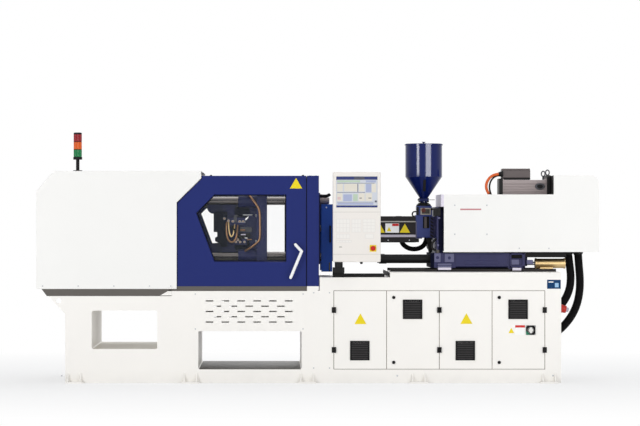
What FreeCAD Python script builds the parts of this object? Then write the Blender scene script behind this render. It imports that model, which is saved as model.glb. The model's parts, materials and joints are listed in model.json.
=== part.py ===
import FreeCAD, Part
import math
import os

# Horizontal injection moulding machine of about 900 kN clamp force.
# Millimetres. +X runs from the clamp to the injection unit, +Y away from the operator, +Z up.
# The origin is on the floor, below the middle of the machine.

# Fits used throughout
running = 0.05      # radial clearance of a shaft or bush that slides or turns
seat_gap = 0.3      # air between curved or sliding pieces of different bodies
sheet = 3.0         # folded sheet metal

# Bed
bed_width = 1150.0
clamp_bed_length = 2034.0
injection_bed_length = 1930.0
bed_plate = 10.0
bed_top_plate = 30.0
clamp_bed_height = 696.0        # under the clamp cover
gate_floor_step = 40.0          # rise of the floor under the sliding gates
gate_floor_length = 1183.0
low_deck_height = 845.0         # injection bed beside the fixed platen
deck_height = 885.0             # injection bed under the carriage
low_deck_length = 562.0

# Tunnels through the clamp bed, front to back
window_corner, left_window_inset, chute_window_inset = 14.0, 212.0, 212.0
left_window = {"left": left_window_inset - clamp_bed_length, "width": 524.0, "sill": 272.0, "height": 308.0}
chute_window = {"left": chute_window_inset - gate_floor_length, "width": 827.0,
                "sill": 110.0, "height": 306.0}
chute_inset, chute_length, chute_width = 271.0, 530.0, 520.0
gusset_length, gusset_height, gusset_thickness = 135.0, 144.0, 12.0
gusset_hole, gusset_hole_x, gusset_hole_z = 22.0, 53.0, 37.0

# Feet
foot_insets = {"clamp end": 74.0, "gate step": 151.0, "middle": 101.0, "deck step": 229.0,
               "injection end": 99.0}
foot_length, foot_reach, foot_plate = 140.0, 60.0, 14.0
foot_rib_height, foot_rib, foot_rib_spread = 80.0, 9.0, 50.0
anchor_radius = 11.0

# Panels on the bed
vent_inset, vent_length, vent_bottom, vent_height = 173.0, 893.0, 418.0, 310.0
vent_slot_length, vent_slot_height = 61.0, 10.0
vent_pitch_x, vent_pitch_z = 126.7, 42.2
joint_panel_left, joint_panel_width = -64.0, 159.0
joint_panel_bottom, joint_panel_height = 105.0, 634.0

# Cabinets in the injection bed
door_first, door_width, door_bottom, door_height = 113.0, 421.6, 112.0, 627.0
door_count = 4
door_depth, door_gap, door_skin = 20.0, 2.0, 2.5
door_edge = 26.0                # frame left round a cabinet mouth
cabinet_depth = 400.0
hinge_radius, hinge_pin, hinge_length, hinge_inset, hinge_leaf = 8.0, 4.0, 45.0, 154.0, 16.0
grille_size, grille_proud, grille_slats = 155.0, 7.0, 9
grille_side_inset, grille_end_inset, grille_rim = 130.0, 71.0, 13.0
lock_radius, lock_proud, lock_shaft, lock_inset_x, lock_inset_z = 13.0, 6.0, 8.0, 57.0, 54.0
cam_length, cam_width, cam_thickness = 44.0, 16.0, 4.0
switch_size, switch_plate, switch_radius = 80.0, 8.0, 24.0
switch_lever_length, switch_lever_width = 44.0, 14.0
switch_inset_x, switch_inset_z = 308.0, 312.0

# Clamp cover
cover_overhang, cover_foot_right, cover_right = 42.0, -1143.0, -946.0
cover_top = 1696.0
cover_nose_x, cover_nose_z = 140.0, 163.0
cover_notch_low, cover_notch_high = 1444.0, 1640.0
sill_height, sill_overhang = 57.0, 190.0
sill_left_slope, sill_right_slope = 43.0, 100.0

# Stack light
stack_x, stack_y = -1945.0, -430.0
stack_flange, stack_flange_height, stack_pole = 36.0, 8.0, 14.0
stack_pole_top, stack_cup_height = 1790.0, 21.0
stack_lens_height, stack_lens, stack_core, stack_cap = 62.0, 33.0, 8.0, 11.0

# Gates
gate_left, gate_right, gate_lift, gate_top = -1143.0, -107.0, 38.0, 1658.0
gate_depth, gate_setback, gate_skin = 30.0, 9.0, 4.0
gate_cut_x, gate_cut_z, gate_notch_low = 197.0, 194.0, 1440.0
gate_rim, window_frame, pane_lap = 30.0, 34.0, 12.0
window_left, window_right = -843.0, -265.0
window_tip, window_tip_z = -990.0, 1360.0
window_bottom, window_top = 968.0, 1509.0
window_bevel = 6.0
pane_thickness = 5.0
post_left, post_right, post_chamfer, post_depth = -101.0, -6.0, 12.0, 60.0
track_left = -2000.0
handle_bar = 12.0
handle_reach = 48.0
handle_points = ((-194.0, 1107.0), (-145.0, 1054.0), (-232.0, 845.0))

# Clamp
axis_z = 1235.0
tie_pitch = 450.0
tie_radius = 31.5
tie_left, tie_right, tie_end_radius = -1720.0, 85.0, 22.0
nut_radius, nut_length = 46.0, 60.0
platen_width, platen_height = 600.0, 580.0
fixed_platen_face, fixed_platen_thickness = -150.0, 160.0
locating_radius, locating_depth = 62.5, 40.0
sprue_radius, nozzle_well_radius, nozzle_well_depth = 45.0, 90.0, 70.0
platen_bolt_radius, platen_bolt_depth = 8.0, 40.0
platen_bolt_pitches, platen_bolt_rise = (280.0, 210.0), 280.0
platen_corner = 20.0
platen_foot_inset, platen_foot_inner, platen_foot_outer = 12.0, 190.0, 290.0
robot_pitch_x, robot_pitch_y = 70.0, 280.0
moving_platen_face, moving_platen_thickness = -422.0, 83.0
moving_platen_length = 438.0    # mould face to the pivots of the front links
platen_web_y, platen_web, platen_web_half, platen_web_hole = 138.0, 30.0, 225.0, 55.0
platen_lug, platen_wall = 70.0, 45.0
bush_radius, bush_length = 55.0, 150.0
ejector_rod, ejector_stroke, ejector_thickness = 15.0, 100.0, 30.0
ejector_rod_pitch = 120.0
tail_thickness, tail_face_to_pivot = 150.0, 60.0
adjuster_radius, adjuster_length, screw_seat, tail_lug = 78.0, 40.0, 45.0, 40.0

# Toggle, side view, measured from the tail pivots at rest
rear_link, front_link = 320.0, 380.0
tail_pivot_height, platen_pivot_height = 55.0, 170.0
rear_link_angle = 60.0          # at rest, above the machine axis
toggle_pin, toggle_eye = 22.0, 50.0
knuckle_pin, knuckle_slack = 18.0, 25.0
rear_link_inner, rear_link_plate, link_air, knuckle_wall = 90.0, 40.0, 2.0, 12.0
cross_link, cross_pivot_on_link, cross_pivot_height = 230.0, 170.0, 62.0
cross_pin, cross_eye, cross_slack, cross_wall, cross_link_width = 12.0, 24.0, 12.5, 12.0, 56.0
crosshead_length, crosshead_reach, crosshead_wall, crosshead_hub = 70.0, 215.0, 3.0, 10.0
guide_rod, guide_rod_y, guide_rod_length = 20.0, 190.0, 440.0
screw_radius, clamp_screw_length = 25.0, 435.0
clamp_motor_radius, clamp_motor_length, clamp_motor_flange = 95.0, 300.0, 60.0

# Control panel
panel_left, panel_right, panel_bottom, panel_top = 103.0, 482.0, 970.0, 1686.0
panel_back, panel_depth, panel_round = -625.0, 75.0, 9.0
screen_left, screen_right, screen_bottom, screen_top = 129.0, 457.0, 1403.0, 1650.0
screen_depth = 8.0
swivel_x, swivel_radius, swivel_depth = 150.0, 20.0, 60.0
arm_width, arm_height, arm_root, arm_inset = 90.0, 40.0, 70.0, 10.0
seam_upper, seam_lower = 1367.0, 1032.0
stop_x, stop_z, stop_radius, stop_travel = 421.0, 1079.0, 20.0, 4.0
stop_stem, stop_seat = 11.0, 20.0

# Injection unit
nozzle_tip, nozzle_radius, nozzle_length = -55.0, 25.0, 85.0
barrel_radius, barrel_bore, heater_radius, heater_count = 50.0, 17.5, 57.0, 5
nozzle_bore, flange_radius, screw_tip_gap, flight_pitch = 3.0, 75.0, 40.0, 35.0
barrel_cover_left, barrel_cover_width = 380.0, 220.0
barrel_cover_bottom, barrel_cover_top = 1120.0, 1335.0
barrel_band_bottom, barrel_band_top, barrel_band_depth = 1186.0, 1282.0, 12.0
feed_left, feed_right, feed_bottom, feed_top, feed_width = 795.0, 933.0, 1158.0, 1344.0, 150.0
hopper_x, throat_radius = 867.0, 27.0
throat_block_left, throat_block_right, throat_block_width = 805.0, 931.0, 104.0
hopper_base, hopper_cone_bottom, hopper_cone_top, hopper_top = 1420.0, 1479.0, 1659.0, 1925.0
hopper_radius, hopper_rim, hopper_wall, hopper_foot, hopper_roll = 151.0, 157.0, 3.0, 45.0, 8.0
slide_bottom, slide_plate, slide_width, slide_length = 1468.0, 4.0, 60.0, 140.0
slide_left, slide_box, slide_wall, slide_travel, slide_grip = 817.0, 40.0, 8.0, 58.0, 4.0
sight_bottom, sight_top, sight_width = 1538.0, 1634.0, 24.0
lid_thickness, lid_knob = 5.0, 14.0
base_left, base_right, base_bottom, base_top, base_width = 908.0, 1673.0, 914.0, 1036.0, 580.0
base_beam, base_deck, base_rise, rear_plate_inset = 60.0, 14.0, 3.0, 60.0
front_plate_left, front_plate_thickness, front_plate_top, front_plate_width = 955.0, 52.0, 1411.0, 600.0
rail_height, rail_width, rail_y, rail_left, rail_inset = 22.0, 34.0, 250.0, 579.0, 5.0
shoe_length, shoe_width, shoe_insets = 120.0, 62.0, (54.0, 12.0)
thrust_radius, thrust_y, thrust_z, thrust_rod = 34.0, 170.0, 985.5, 16.0
thrust_left, thrust_overlap = 492.0, 300.0
thrust_collar, thrust_collar_rise = 60.0, 4.0
drive_radius, drive_length, drive_y, drive_z = 43.0, 245.0, -150.0, 950.0
drive_gap, drive_slack = 93.0, 7.0
hood_left, hood_right, hood_bottom, hood_top, hood_half = 19.0, 330.0, 885.0, 1432.0, 300.0
hood_side_bottom, hood_side_reach = 1045.0, 170.0
hood_skirt, hood_step = 88.0, 100.0         # length and depth of the sides' low front part
hood_rod, hood_tube, hood_rod_y, hood_rod_z, hood_rod_right = 8.0, 14.0, 285.0, 1418.0, 480.0

unit_left, unit_right, unit_bottom, unit_top, unit_width = 1010.0, 2266.0, 1045.0, 1511.0, 660.0
unit_rear_left, unit_rear_top, unit_corner, unit_cap, unit_floor_left = 1901.0, 1666.0, 60.0, 22.0, 1960.0
motor_left, motor_right, motor_half, motor_z = 1480.0, 1900.0, 90.0, 1554.0
motor_flange, motor_end, motor_bell, motor_round, bell_round = 30.0, 30.0, 27.0, 12.0, 15.0
fin_pitch, fin_count, fin_depth, fin_inset = 22.0, 2, 8.0, 6.0
junction_length, junction_width, junction_height = 233.0, 120.0, 82.0
junction_inset, junction_round = 25.0, 6.0
eye_radius, eye_bar, eye_stem, eye_rise, eye_insets = 21.0, 6.0, 9.0, 8.0, (64.0, 27.0)
ram_left, ram_thickness, ram_height, ram_width = 1150.0, 60.0, 220.0, 460.0
ram_guide, ram_guide_y, ram_guide_right = 25.0, 180.0, 1560.0

# Hoses and cables, as points of their routes
arc_share = 0.45
hose_diameter, motor_cable_diameter, signal_cable_diameter, cooling_hose_diameter = 66.0, 23.0, 14.0, 40.0
inner_hose = ((2046, -60, 1045), (2058, -60, 950), (2071, -60, 850), (2064, -60, 750),
              (2032, -60, 665), (1985, -60, 600), (1915, -60, 548))
outer_hose = ((2128, -60, 1045), (2144, -60, 940), (2161, -60, 835), (2161, -60, 725), (2139, -60, 615),
              (2092, -60, 520), (2025, -60, 440), (1960, -60, 388), (1900, -60, 352))
motor_cable = ((1505, -62, 1685), (1462, -62, 1681), (1423, -62, 1661), (1396, -62, 1625),
               (1384, -62, 1580), (1392, -62, 1538), (1410, -62, 1498))
signal_cable = ((1505, -34, 1672), (1468, -34, 1669), (1436, -34, 1652), (1413, -34, 1620),
                (1404, -34, 1582), (1408, -34, 1544), (1420, -34, 1500))
cooling_hose = ((674, 0, 1177.5), (680, 0, 1130), (708, 0, 1090), (755, 0, 1066), (808, 0, 1064),
                (856, 0, 1082), (884, 0, 1118), (891, 0, 1158))

half_bed = bed_width / 2
half_tie = tie_pitch / 2
gate_floor_height = clamp_bed_height + gate_floor_step
gate_bottom = gate_floor_height + gate_lift
cover_bottom = clamp_bed_height + sill_height
sill_left = -clamp_bed_length - sill_overhang
sill_right = -gate_floor_length
cover_left = sill_left - cover_overhang
chute_left = chute_window["left"] + chute_inset
vent_left = vent_inset - gate_floor_length
rail_right = injection_bed_length - rail_inset
foot_places = (foot_insets["clamp end"] - clamp_bed_length, foot_insets["gate step"] - gate_floor_length,
               -foot_insets["middle"], low_deck_length + foot_insets["deck step"],
               injection_bed_length - foot_insets["injection end"])


def box(x0, x1, y0, y1, z0, z1):
    """A box between two corners."""
    corner = FreeCAD.Vector(min(x0, x1), min(y0, y1), min(z0, z1))
    return Part.makeBox(abs(x1 - x0), abs(y1 - y0), abs(z1 - z0), corner)


def rod_x(x0, x1, y, z, radius):
    """A cylinder along X."""
    return Part.makeCylinder(radius, x1 - x0, FreeCAD.Vector(x0, y, z), FreeCAD.Vector(1, 0, 0))


def rod_y(y0, y1, x, z, radius):
    """A cylinder along Y."""
    return Part.makeCylinder(radius, y1 - y0, FreeCAD.Vector(x, y0, z), FreeCAD.Vector(0, 1, 0))


def rod_z(z0, z1, x, y, radius):
    """A cylinder along Z."""
    return Part.makeCylinder(radius, z1 - z0, FreeCAD.Vector(x, y, z0), FreeCAD.Vector(0, 0, 1))


def prism_y(outline, y0, y1):
    """A side-view outline of (x, z) points, drawn out along Y."""
    points = [FreeCAD.Vector(x, y0, z) for x, z in outline]
    face = Part.Face(Part.makePolygon(points + points[:1]))
    return face.extrude(FreeCAD.Vector(0, y1 - y0, 0))


def prism_x(outline, x0, x1):
    """An end-view outline of (y, z) points, drawn out along X."""
    points = [FreeCAD.Vector(x0, y, z) for y, z in outline]
    face = Part.Face(Part.makePolygon(points + points[:1]))
    return face.extrude(FreeCAD.Vector(x1 - x0, 0, 0))


def turned(outline, x, y):
    """An outline of (radius, z) points, turned about a vertical axis."""
    points = [FreeCAD.Vector(x + r, y, z) for r, z in outline]
    face = Part.Face(Part.makePolygon(points + points[:1]))
    return face.revolve(FreeCAD.Vector(x, y, 0), FreeCAD.Vector(0, 0, 1), 360)


def turned_x(outline, y, z):
    """An outline of (x, radius) points, turned about an axis along X."""
    points = [FreeCAD.Vector(x, y, z + r) for x, r in outline]
    face = Part.Face(Part.makePolygon(points + points[:1]))
    return face.revolve(FreeCAD.Vector(0, y, z), FreeCAD.Vector(1, 0, 0), 360)


def joined(*shapes):
    """One solid out of several that meet."""
    whole = shapes[0]
    for shape in shapes[1:]:
        whole = whole.fuse(shape)
    return whole.removeSplitter()


def less(shape, *tools):
    """A solid with the tools taken away."""
    return shape.cut(Part.makeCompound(list(tools)))


def both_sides(shape):
    """The shape and its mirror image across the plane Y = 0."""
    return [shape, shape.mirror(FreeCAD.Vector(0, 0, 0), FreeCAD.Vector(0, 1, 0))]


def filleted(shape, radius, chosen):
    """Rounds the edges for which chosen(edge) is true."""
    edges = [edge for edge in shape.Edges if chosen(edge)]
    return shape.makeFillet(radius, edges) if edges else shape


def runs_along(axis):
    """A test for straight edges along an axis, for filleted()."""
    def test(edge):
        if len(edge.Vertexes) != 2 or edge.Curve.TypeId != "Part::GeomLine":
            return False
        along = edge.Vertexes[1].Point - edge.Vertexes[0].Point
        return abs(abs(getattr(along, axis)) - along.Length) < 1e-6
    return test


def save(node, *shapes):
    """Writes one node, as one solid or as a group of separate solids."""
    solids = [solid for shape in shapes for solid in shape.Solids]
    whole = solids[0] if len(solids) == 1 else Part.makeCompound(solids)
    assert all(solid.isValid() for solid in solids), node
    whole.exportStep("parts/" + node + ".step")
    print(node, len(solids), round(whole.Volume / 1000), "cm3")


def tunnel(window, wall=0.0):
    """The space of a tunnel through the bed, or with a wall the steel round it."""
    reach = half_bed + (0 if wall else 1)
    space = box(window["left"] - wall, window["left"] + window["width"] + wall, -reach, reach,
                window["sill"] - wall, window["sill"] + window["height"] + wall)
    return space if wall else filleted(space, window_corner, runs_along("y"))


def chute(wall=0.0):
    """The drop chute from the mould space into the wide tunnel."""
    bottom = chute_window["sill"] + chute_window["height"]
    half = chute_width / 2 + wall
    low, high = (bottom, gate_floor_height) if wall else (bottom - bed_plate - 1, gate_floor_height + 1)
    return box(chute_left - wall, chute_left + chute_length + wall, -half, half, low, high)


def vent_openings():
    """Openings in both side plates behind the slotted panels."""
    margin = 2 * bed_plate
    return box(vent_left + margin, vent_left + vent_length - margin, -half_bed - 1, -half_bed + bed_plate + 1,
               vent_bottom + margin, vent_bottom + vent_height - margin)


def clamp_bed():
    """Welded frame: side plates, top plate, tunnel linings and end gussets, open below."""
    left, step = -clamp_bed_length, -gate_floor_length
    outline = [(left, 0), (0, 0), (0, gate_floor_height), (step, gate_floor_height),
               (step, clamp_bed_height), (left, clamp_bed_height)]
    frame = prism_y(outline, -half_bed, half_bed)
    inner = half_bed - bed_plate
    hollow = joined(
        box(left + bed_plate, -bed_plate, -inner, inner, -1, clamp_bed_height - bed_top_plate),
        box(step + bed_plate, -bed_plate, -inner, inner, -1, gate_floor_height - bed_top_plate))
    hollow = less(hollow, tunnel(left_window, bed_plate), tunnel(chute_window, bed_plate), chute(bed_plate))
    frame = less(frame, hollow, tunnel(left_window), tunnel(chute_window), chute(),
                 *both_sides(vent_openings()))
    triangle = [(left, clamp_bed_height), (left - gusset_length, clamp_bed_height),
                (left, clamp_bed_height - gusset_height)]
    gusset = prism_y(triangle, -half_bed, -half_bed + gusset_thickness)
    hole_x, hole_z = left - gusset_hole_x, clamp_bed_height - gusset_hole_z
    gusset = less(gusset, rod_y(-half_bed - 1, -half_bed + gusset_thickness + 1, hole_x, hole_z, gusset_hole))
    return joined(frame, *both_sides(gusset))


def cabinet_left(number):
    """Left edge of a door's place in the row of cabinets."""
    return door_first + number * door_width


def injection_bed():
    """Welded frame under the injection unit, with a row of cabinets open to the front."""
    outline = [(0, 0), (injection_bed_length, 0), (injection_bed_length, deck_height),
               (low_deck_length, deck_height), (low_deck_length, low_deck_height), (0, low_deck_height)]
    frame = prism_y(outline, -half_bed, half_bed)
    mouth_back = -half_bed + door_depth + door_gap
    tools = [box(door_first, cabinet_left(door_count), -half_bed - 1, mouth_back,
                 door_bottom, door_bottom + door_height)]
    for number in range(door_count):
        left = cabinet_left(number) + door_edge
        space = box(left, left + door_width - 2 * door_edge, mouth_back - 1, mouth_back + cabinet_depth,
                    door_bottom + door_edge, door_bottom + door_height - door_edge)
        tools.append(filleted(space, window_corner, runs_along("y")))
    return less(frame, *tools)


def feet():
    """Foot brackets along both sides: a drilled plate and two ribs each."""
    brackets = []
    for place in foot_places:
        plate = box(place - foot_length / 2, place + foot_length / 2,
                    -half_bed - foot_reach, -half_bed, 0, foot_plate)
        plate = less(plate, rod_z(-1, foot_plate + 1, place, -half_bed - foot_reach * 0.6, anchor_radius))
        for side in (-1, 1):
            rib_x = place + side * foot_rib_spread
            rib = prism_x([(-half_bed, foot_plate), (-half_bed - foot_reach + foot_rib, foot_plate),
                           (-half_bed, foot_rib_height)], rib_x - foot_rib / 2, rib_x + foot_rib / 2)
            plate = joined(plate, rib)
        brackets += both_sides(plate)
    return brackets


def vent_panel():
    """Slotted sheet over the opening above the wide tunnel: five rows, offset like bricks."""
    panel = box(vent_left, vent_left + vent_length, -half_bed - sheet, -half_bed,
                vent_bottom, vent_bottom + vent_height)
    slots = []
    middle_x, middle_z = vent_left + vent_length / 2, vent_bottom + vent_height / 2
    for row in range(-2, 3):
        count = 6 if row % 2 == 0 else 5
        for number in range(count):
            x = middle_x + (number - (count - 1) / 2) * vent_pitch_x
            z = middle_z + row * vent_pitch_z
            slots.append(box(x - vent_slot_length / 2, x + vent_slot_length / 2,
                             -half_bed - sheet - 1, -half_bed + 1,
                             z - vent_slot_height / 2, z + vent_slot_height / 2))
    return less(panel, *slots)


def side_panels():
    """Screwed sheets: one over each side's joint between the beds, and four behind the cabinets."""
    joint = box(joint_panel_left, joint_panel_left + joint_panel_width, -half_bed - sheet, -half_bed,
                joint_panel_bottom, joint_panel_bottom + joint_panel_height)
    rear = [box(cabinet_left(number) + door_gap, cabinet_left(number + 1) - door_gap,
                half_bed, half_bed + sheet, door_bottom, door_bottom + door_height)
            for number in range(door_count)]
    return both_sides(joint) + rear


# Doors 1 and 3 hang on the left, doors 2 and 4 on the right, so that 2 and 3 share a hinge line.
def door_hangs_left(number):
    return number % 2 == 0


def hinge_edge(number):
    """X of the seam beside a door's hinges, and the side of the door that it is on."""
    return (cabinet_left(number), -1) if door_hangs_left(number) else (cabinet_left(number + 1), 1)


def hinge_line(number):
    """X of a door's hinge axis."""
    edge, side = hinge_edge(number)
    return edge - side * (door_gap + hinge_radius)


hinge_y = -half_bed - hinge_radius - seat_gap
hinge_heights = (door_bottom + hinge_inset, door_bottom + door_height - hinge_inset)


def grille_centre(number):
    """Centre of a door's fan grille: low on doors 1 and 3, high on doors 2 and 4."""
    x = cabinet_left(number) + grille_side_inset + grille_size / 2
    if door_hangs_left(number):
        return x, door_bottom + grille_end_inset + grille_size / 2
    return x, door_bottom + door_height - grille_end_inset - grille_size / 2


def cabinet_door(number):
    """Folded door: a shallow tray with a fan grille, and the main switch plate on the last one."""
    left = cabinet_left(number) + door_gap
    right = cabinet_left(number + 1) - door_gap
    bottom, top = door_bottom + door_gap, door_bottom + door_height - door_gap
    door = box(left, right, -half_bed, -half_bed + door_depth, bottom, top)
    door = less(door, box(left + door_skin, right - door_skin, -half_bed + door_skin,
                          -half_bed + door_depth + 1, bottom + door_skin, top - door_skin))
    x, z = grille_centre(number)
    half = grille_size / 2
    door = joined(door, box(x - half, x + half, -half_bed - grille_proud, -half_bed, z - half, z + half))
    pitch = (grille_size - 2 * grille_rim) / grille_slats
    slots = []
    for slat in range(grille_slats):
        low = z - half + grille_rim + slat * pitch
        slots.append(box(x - half + grille_rim, x + half - grille_rim, -half_bed - grille_proud - 1,
                         -half_bed - 1, low, low + pitch / 2))
    door = less(door, *slots)
    for lock in range(2) if not door_hangs_left(number) else ():
        lock_x, lock_z = lock_place(number, lock)
        door = less(door, rod_y(-half_bed - 1, -half_bed + door_depth, lock_x, lock_z, lock_shaft + running))
    x = hinge_line(number)
    for z in hinge_heights:
        half_knuckle = hinge_length / 6 - seat_gap
        knuckle = joined(rod_z(z - half_knuckle, z + half_knuckle, x, hinge_y, hinge_radius),
                         box(x - hinge_pin, x + hinge_pin, hinge_y, -half_bed,
                             z - half_knuckle, z + half_knuckle))
        door = less(joined(door, knuckle), rod_z(z - hinge_length, z + hinge_length, x, hinge_y,
                                                 hinge_pin + running))
    if number == door_count - 1:
        switch_x, switch_z = switch_place()
        reach = switch_size / 2
        plate = box(switch_x - reach, switch_x + reach, -half_bed - switch_plate, -half_bed,
                    switch_z - reach, switch_z + reach)
        door = joined(door, plate, rod_y(-half_bed - 2 * switch_plate, -half_bed - switch_plate,
                                         switch_x, switch_z, switch_radius))
    return door


def lock_place(number, lock):
    """Centre of a quarter-turn lock, near the free edge of a door."""
    x = cabinet_left(number) + lock_inset_x
    return x, (door_bottom + lock_inset_z, door_bottom + door_height - lock_inset_z)[lock]


def door_lock(number, lock):
    """Round lock with a slot for a key, and a cam that reaches behind the frame."""
    x, z = lock_place(number, lock)
    front = -half_bed - lock_proud
    cam_y = -half_bed + door_skin + seat_gap
    head = rod_y(front, -half_bed - seat_gap, x, z, lock_radius)
    head = less(head, box(x - lock_radius / 2, x + lock_radius / 2, front - 1, front + lock_proud / 2,
                          z - lock_proud / 4, z + lock_proud / 4))
    shaft = rod_y(-half_bed - seat_gap, cam_y + cam_thickness, x, z, lock_shaft)
    cam = box(x - cam_length, x + cam_width / 2, cam_y, cam_y + cam_thickness,
              z - cam_width / 2, z + cam_width / 2)
    return joined(head, shaft, cam)


def switch_place():
    """Centre of the main switch, on the last door."""
    return cabinet_left(door_count - 1) + switch_inset_x, door_bottom + switch_inset_z


def switch_lever():
    """Lever of the main switch, upright while the power is on."""
    x, z = switch_place()
    back = -half_bed - 2 * switch_plate - seat_gap
    hub = rod_y(back - switch_plate, back, x, z, switch_radius * 0.75)
    grip = box(x - switch_lever_width / 2, x + switch_lever_width / 2,
               back - 2.5 * switch_plate, back - switch_plate,
               z - switch_lever_length / 2, z + switch_lever_length / 2)
    return joined(hub, grip)


def door_hinges():
    """The fixed half of each door hinge: pin, two knuckles, and a leaf on the frame or in the seam."""
    hinges = []
    for number in range(door_count):
        x = hinge_line(number)
        edge, side = hinge_edge(number)
        at_end = number in (0, door_count - 1)
        for z in hinge_heights:
            low, high = z - hinge_length / 2, z + hinge_length / 2
            hinge = rod_z(low, high, x, hinge_y, hinge_pin)
            for start in (low, high - hinge_length / 3):
                end = start + hinge_length / 3
                hinge = joined(hinge, rod_z(start, end, x, hinge_y, hinge_radius),
                               box(x, edge + side * hinge_leaf * at_end,
                                   -half_bed - sheet, -half_bed - seat_gap, start, end))
            front = -half_bed - sheet if at_end else -half_bed - seat_gap
            back = -half_bed if at_end else -half_bed + door_depth + door_gap
            outer = edge + side * hinge_leaf if at_end else edge - side * door_gap * 0.6
            hinges.append(joined(hinge, box(edge, outer, min(front, -half_bed - sheet), back, low, high)))
    return hinges


def clamp_cover():
    """Folded hood over the clamp: two sides, top, sloping nose and end, open below and towards the gates."""
    nose = [(cover_left, cover_top - cover_nose_z), (cover_left + cover_nose_x, cover_top)]
    outline = [(cover_left, cover_bottom)] + nose + [
        (cover_right, cover_top), (cover_right, cover_notch_high),
        (cover_foot_right, cover_notch_low), (cover_foot_right, cover_bottom)]
    room = [(cover_left, cover_bottom - 2 * sheet)] + nose + [
        (cover_right + 2 * sheet, cover_top), (cover_right + 2 * sheet, cover_bottom - 2 * sheet)]
    inside = drawn_y(outline_face(room, -half_bed + sheet, -sheet), bed_width - 2 * sheet)
    return less(prism_y(outline, -half_bed, half_bed), inside)


def clamp_sill():
    """Dark base plate between the bed and the clamp cover, with sloping ends."""
    outline = [(sill_left, cover_bottom), (sill_right, cover_bottom),
               (sill_right - sill_right_slope, clamp_bed_height),
               (sill_left + sill_left_slope, clamp_bed_height)]
    return prism_y(outline, -half_bed, half_bed)


def stack_light_base():
    """Flange, pole and cup of the signal tower, with the core tube and the cap in one."""
    cup_top = stack_pole_top + stack_cup_height
    cap_bottom = cup_top + 3 * stack_lens_height
    outline = [(0, cover_top), (stack_flange, cover_top), (stack_flange, cover_top + stack_flange_height),
               (stack_pole, cover_top + stack_flange_height), (stack_pole, stack_pole_top),
               (stack_flange, stack_pole_top), (stack_flange, cup_top), (stack_core, cup_top),
               (stack_core, cap_bottom), (stack_lens, cap_bottom), (stack_lens, cap_bottom + stack_cap * 0.6),
               (stack_lens * 0.8, cap_bottom + stack_cap), (0, cap_bottom + stack_cap)]
    return turned(outline, stack_x, stack_y)


def stack_light_lenses():
    """Three lens rings stacked on the core: green, amber, red from below."""
    cup_top = stack_pole_top + stack_cup_height
    lenses = []
    for level in range(3):
        low = cup_top + level * stack_lens_height + seat_gap / 2
        high = cup_top + (level + 1) * stack_lens_height - seat_gap / 2
        outline = [(stack_core + seat_gap, low), (stack_lens - 2, low), (stack_lens, low + 2),
                   (stack_lens, high - 2), (stack_lens - 2, high), (stack_core + seat_gap, high)]
        lenses.append(turned(outline, stack_x, stack_y))
    return lenses


gate_front = -half_bed + gate_setback
gate_outline = ((gate_left, gate_bottom), (gate_right, gate_bottom), (gate_right, gate_top),
                (gate_left + gate_cut_x, gate_top), (gate_left + gate_cut_x, gate_notch_low + gate_cut_z),
                (gate_left, gate_notch_low))
window_outline = ((window_left, window_bottom), (window_right, window_bottom), (window_right, window_top),
                  (window_left, window_top), (window_tip, window_tip_z))


def outline_face(points, y, offset=0.0):
    """A face in the XZ plane at y, grown or shrunk by an offset with sharp corners."""
    vectors = [FreeCAD.Vector(x, y, z) for x, z in points]
    face = Part.Face(Part.makePolygon(vectors + vectors[:1]))
    return face.makeOffset2D(offset, join=2) if offset else face


def drawn_y(face, depth):
    return face.extrude(FreeCAD.Vector(0, depth, 0))


def gate():
    """Sliding gate: a folded sheet with a deep rim and a bevelled window frame."""
    back = gate_front + gate_depth
    panel = drawn_y(outline_face(gate_outline, gate_front), gate_depth)
    hollow = less(drawn_y(outline_face(gate_outline, gate_front + gate_skin, -gate_rim), gate_depth),
                  drawn_y(outline_face(window_outline, gate_front, window_frame), gate_depth + gate_skin + 1))
    wide = outline_face(window_outline, gate_front - 1).OuterWire
    narrow = outline_face(window_outline, back + 1, -window_bevel).OuterWire
    return less(panel, hollow, Part.makeLoft([wide, narrow], True, True))


def gate_pane():
    """Clear pane fixed to the back of the gate's window frame."""
    back = gate_front + gate_depth
    return drawn_y(outline_face(window_outline, back, -window_bevel + pane_lap), pane_thickness)


def bar_between(start, end, radius):
    """A round bar between two points, with ball ends."""
    along = end - start
    bar = Part.makeCylinder(radius, along.Length, start, along)
    return joined(bar, Part.makeSphere(radius, end))


def gate_handle():
    """Bent bar handle on two standoffs."""
    y = gate_front - handle_reach
    points = [FreeCAD.Vector(x, y, z) for x, z in handle_points]
    bar = joined(Part.makeSphere(handle_bar, points[0]), bar_between(points[0], points[1], handle_bar),
                 bar_between(points[1], points[2], handle_bar))
    for point in (points[0], points[2]):
        bar = joined(bar, rod_y(y, gate_front, point.x, point.z, handle_bar * 0.9))
    return bar


def gate_track():
    """Guide rail under a gate, along the bed and on over the sill inside the clamp cover."""
    top = gate_bottom - seat_gap
    outline = [(track_left, cover_bottom), (sill_right, cover_bottom), (sill_right, gate_floor_height),
               (post_left - seat_gap, gate_floor_height), (post_left - seat_gap, top), (track_left, top)]
    return prism_y(outline, gate_front, gate_front + gate_depth)


def gate_post():
    """Fixed channel post beside the fixed platen, open to the back."""
    outline = [(post_left, gate_floor_height), (post_right - post_chamfer, gate_floor_height),
               (post_right, gate_floor_height + post_chamfer), (post_right, gate_top), (post_left, gate_top)]
    post = prism_y(outline, -half_bed, -half_bed + post_depth)
    return less(post, box(post_left + sheet, post_right - sheet, -half_bed + sheet,
                          -half_bed + post_depth + 1, gate_floor_height + 4 * sheet, gate_top - sheet))


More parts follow.
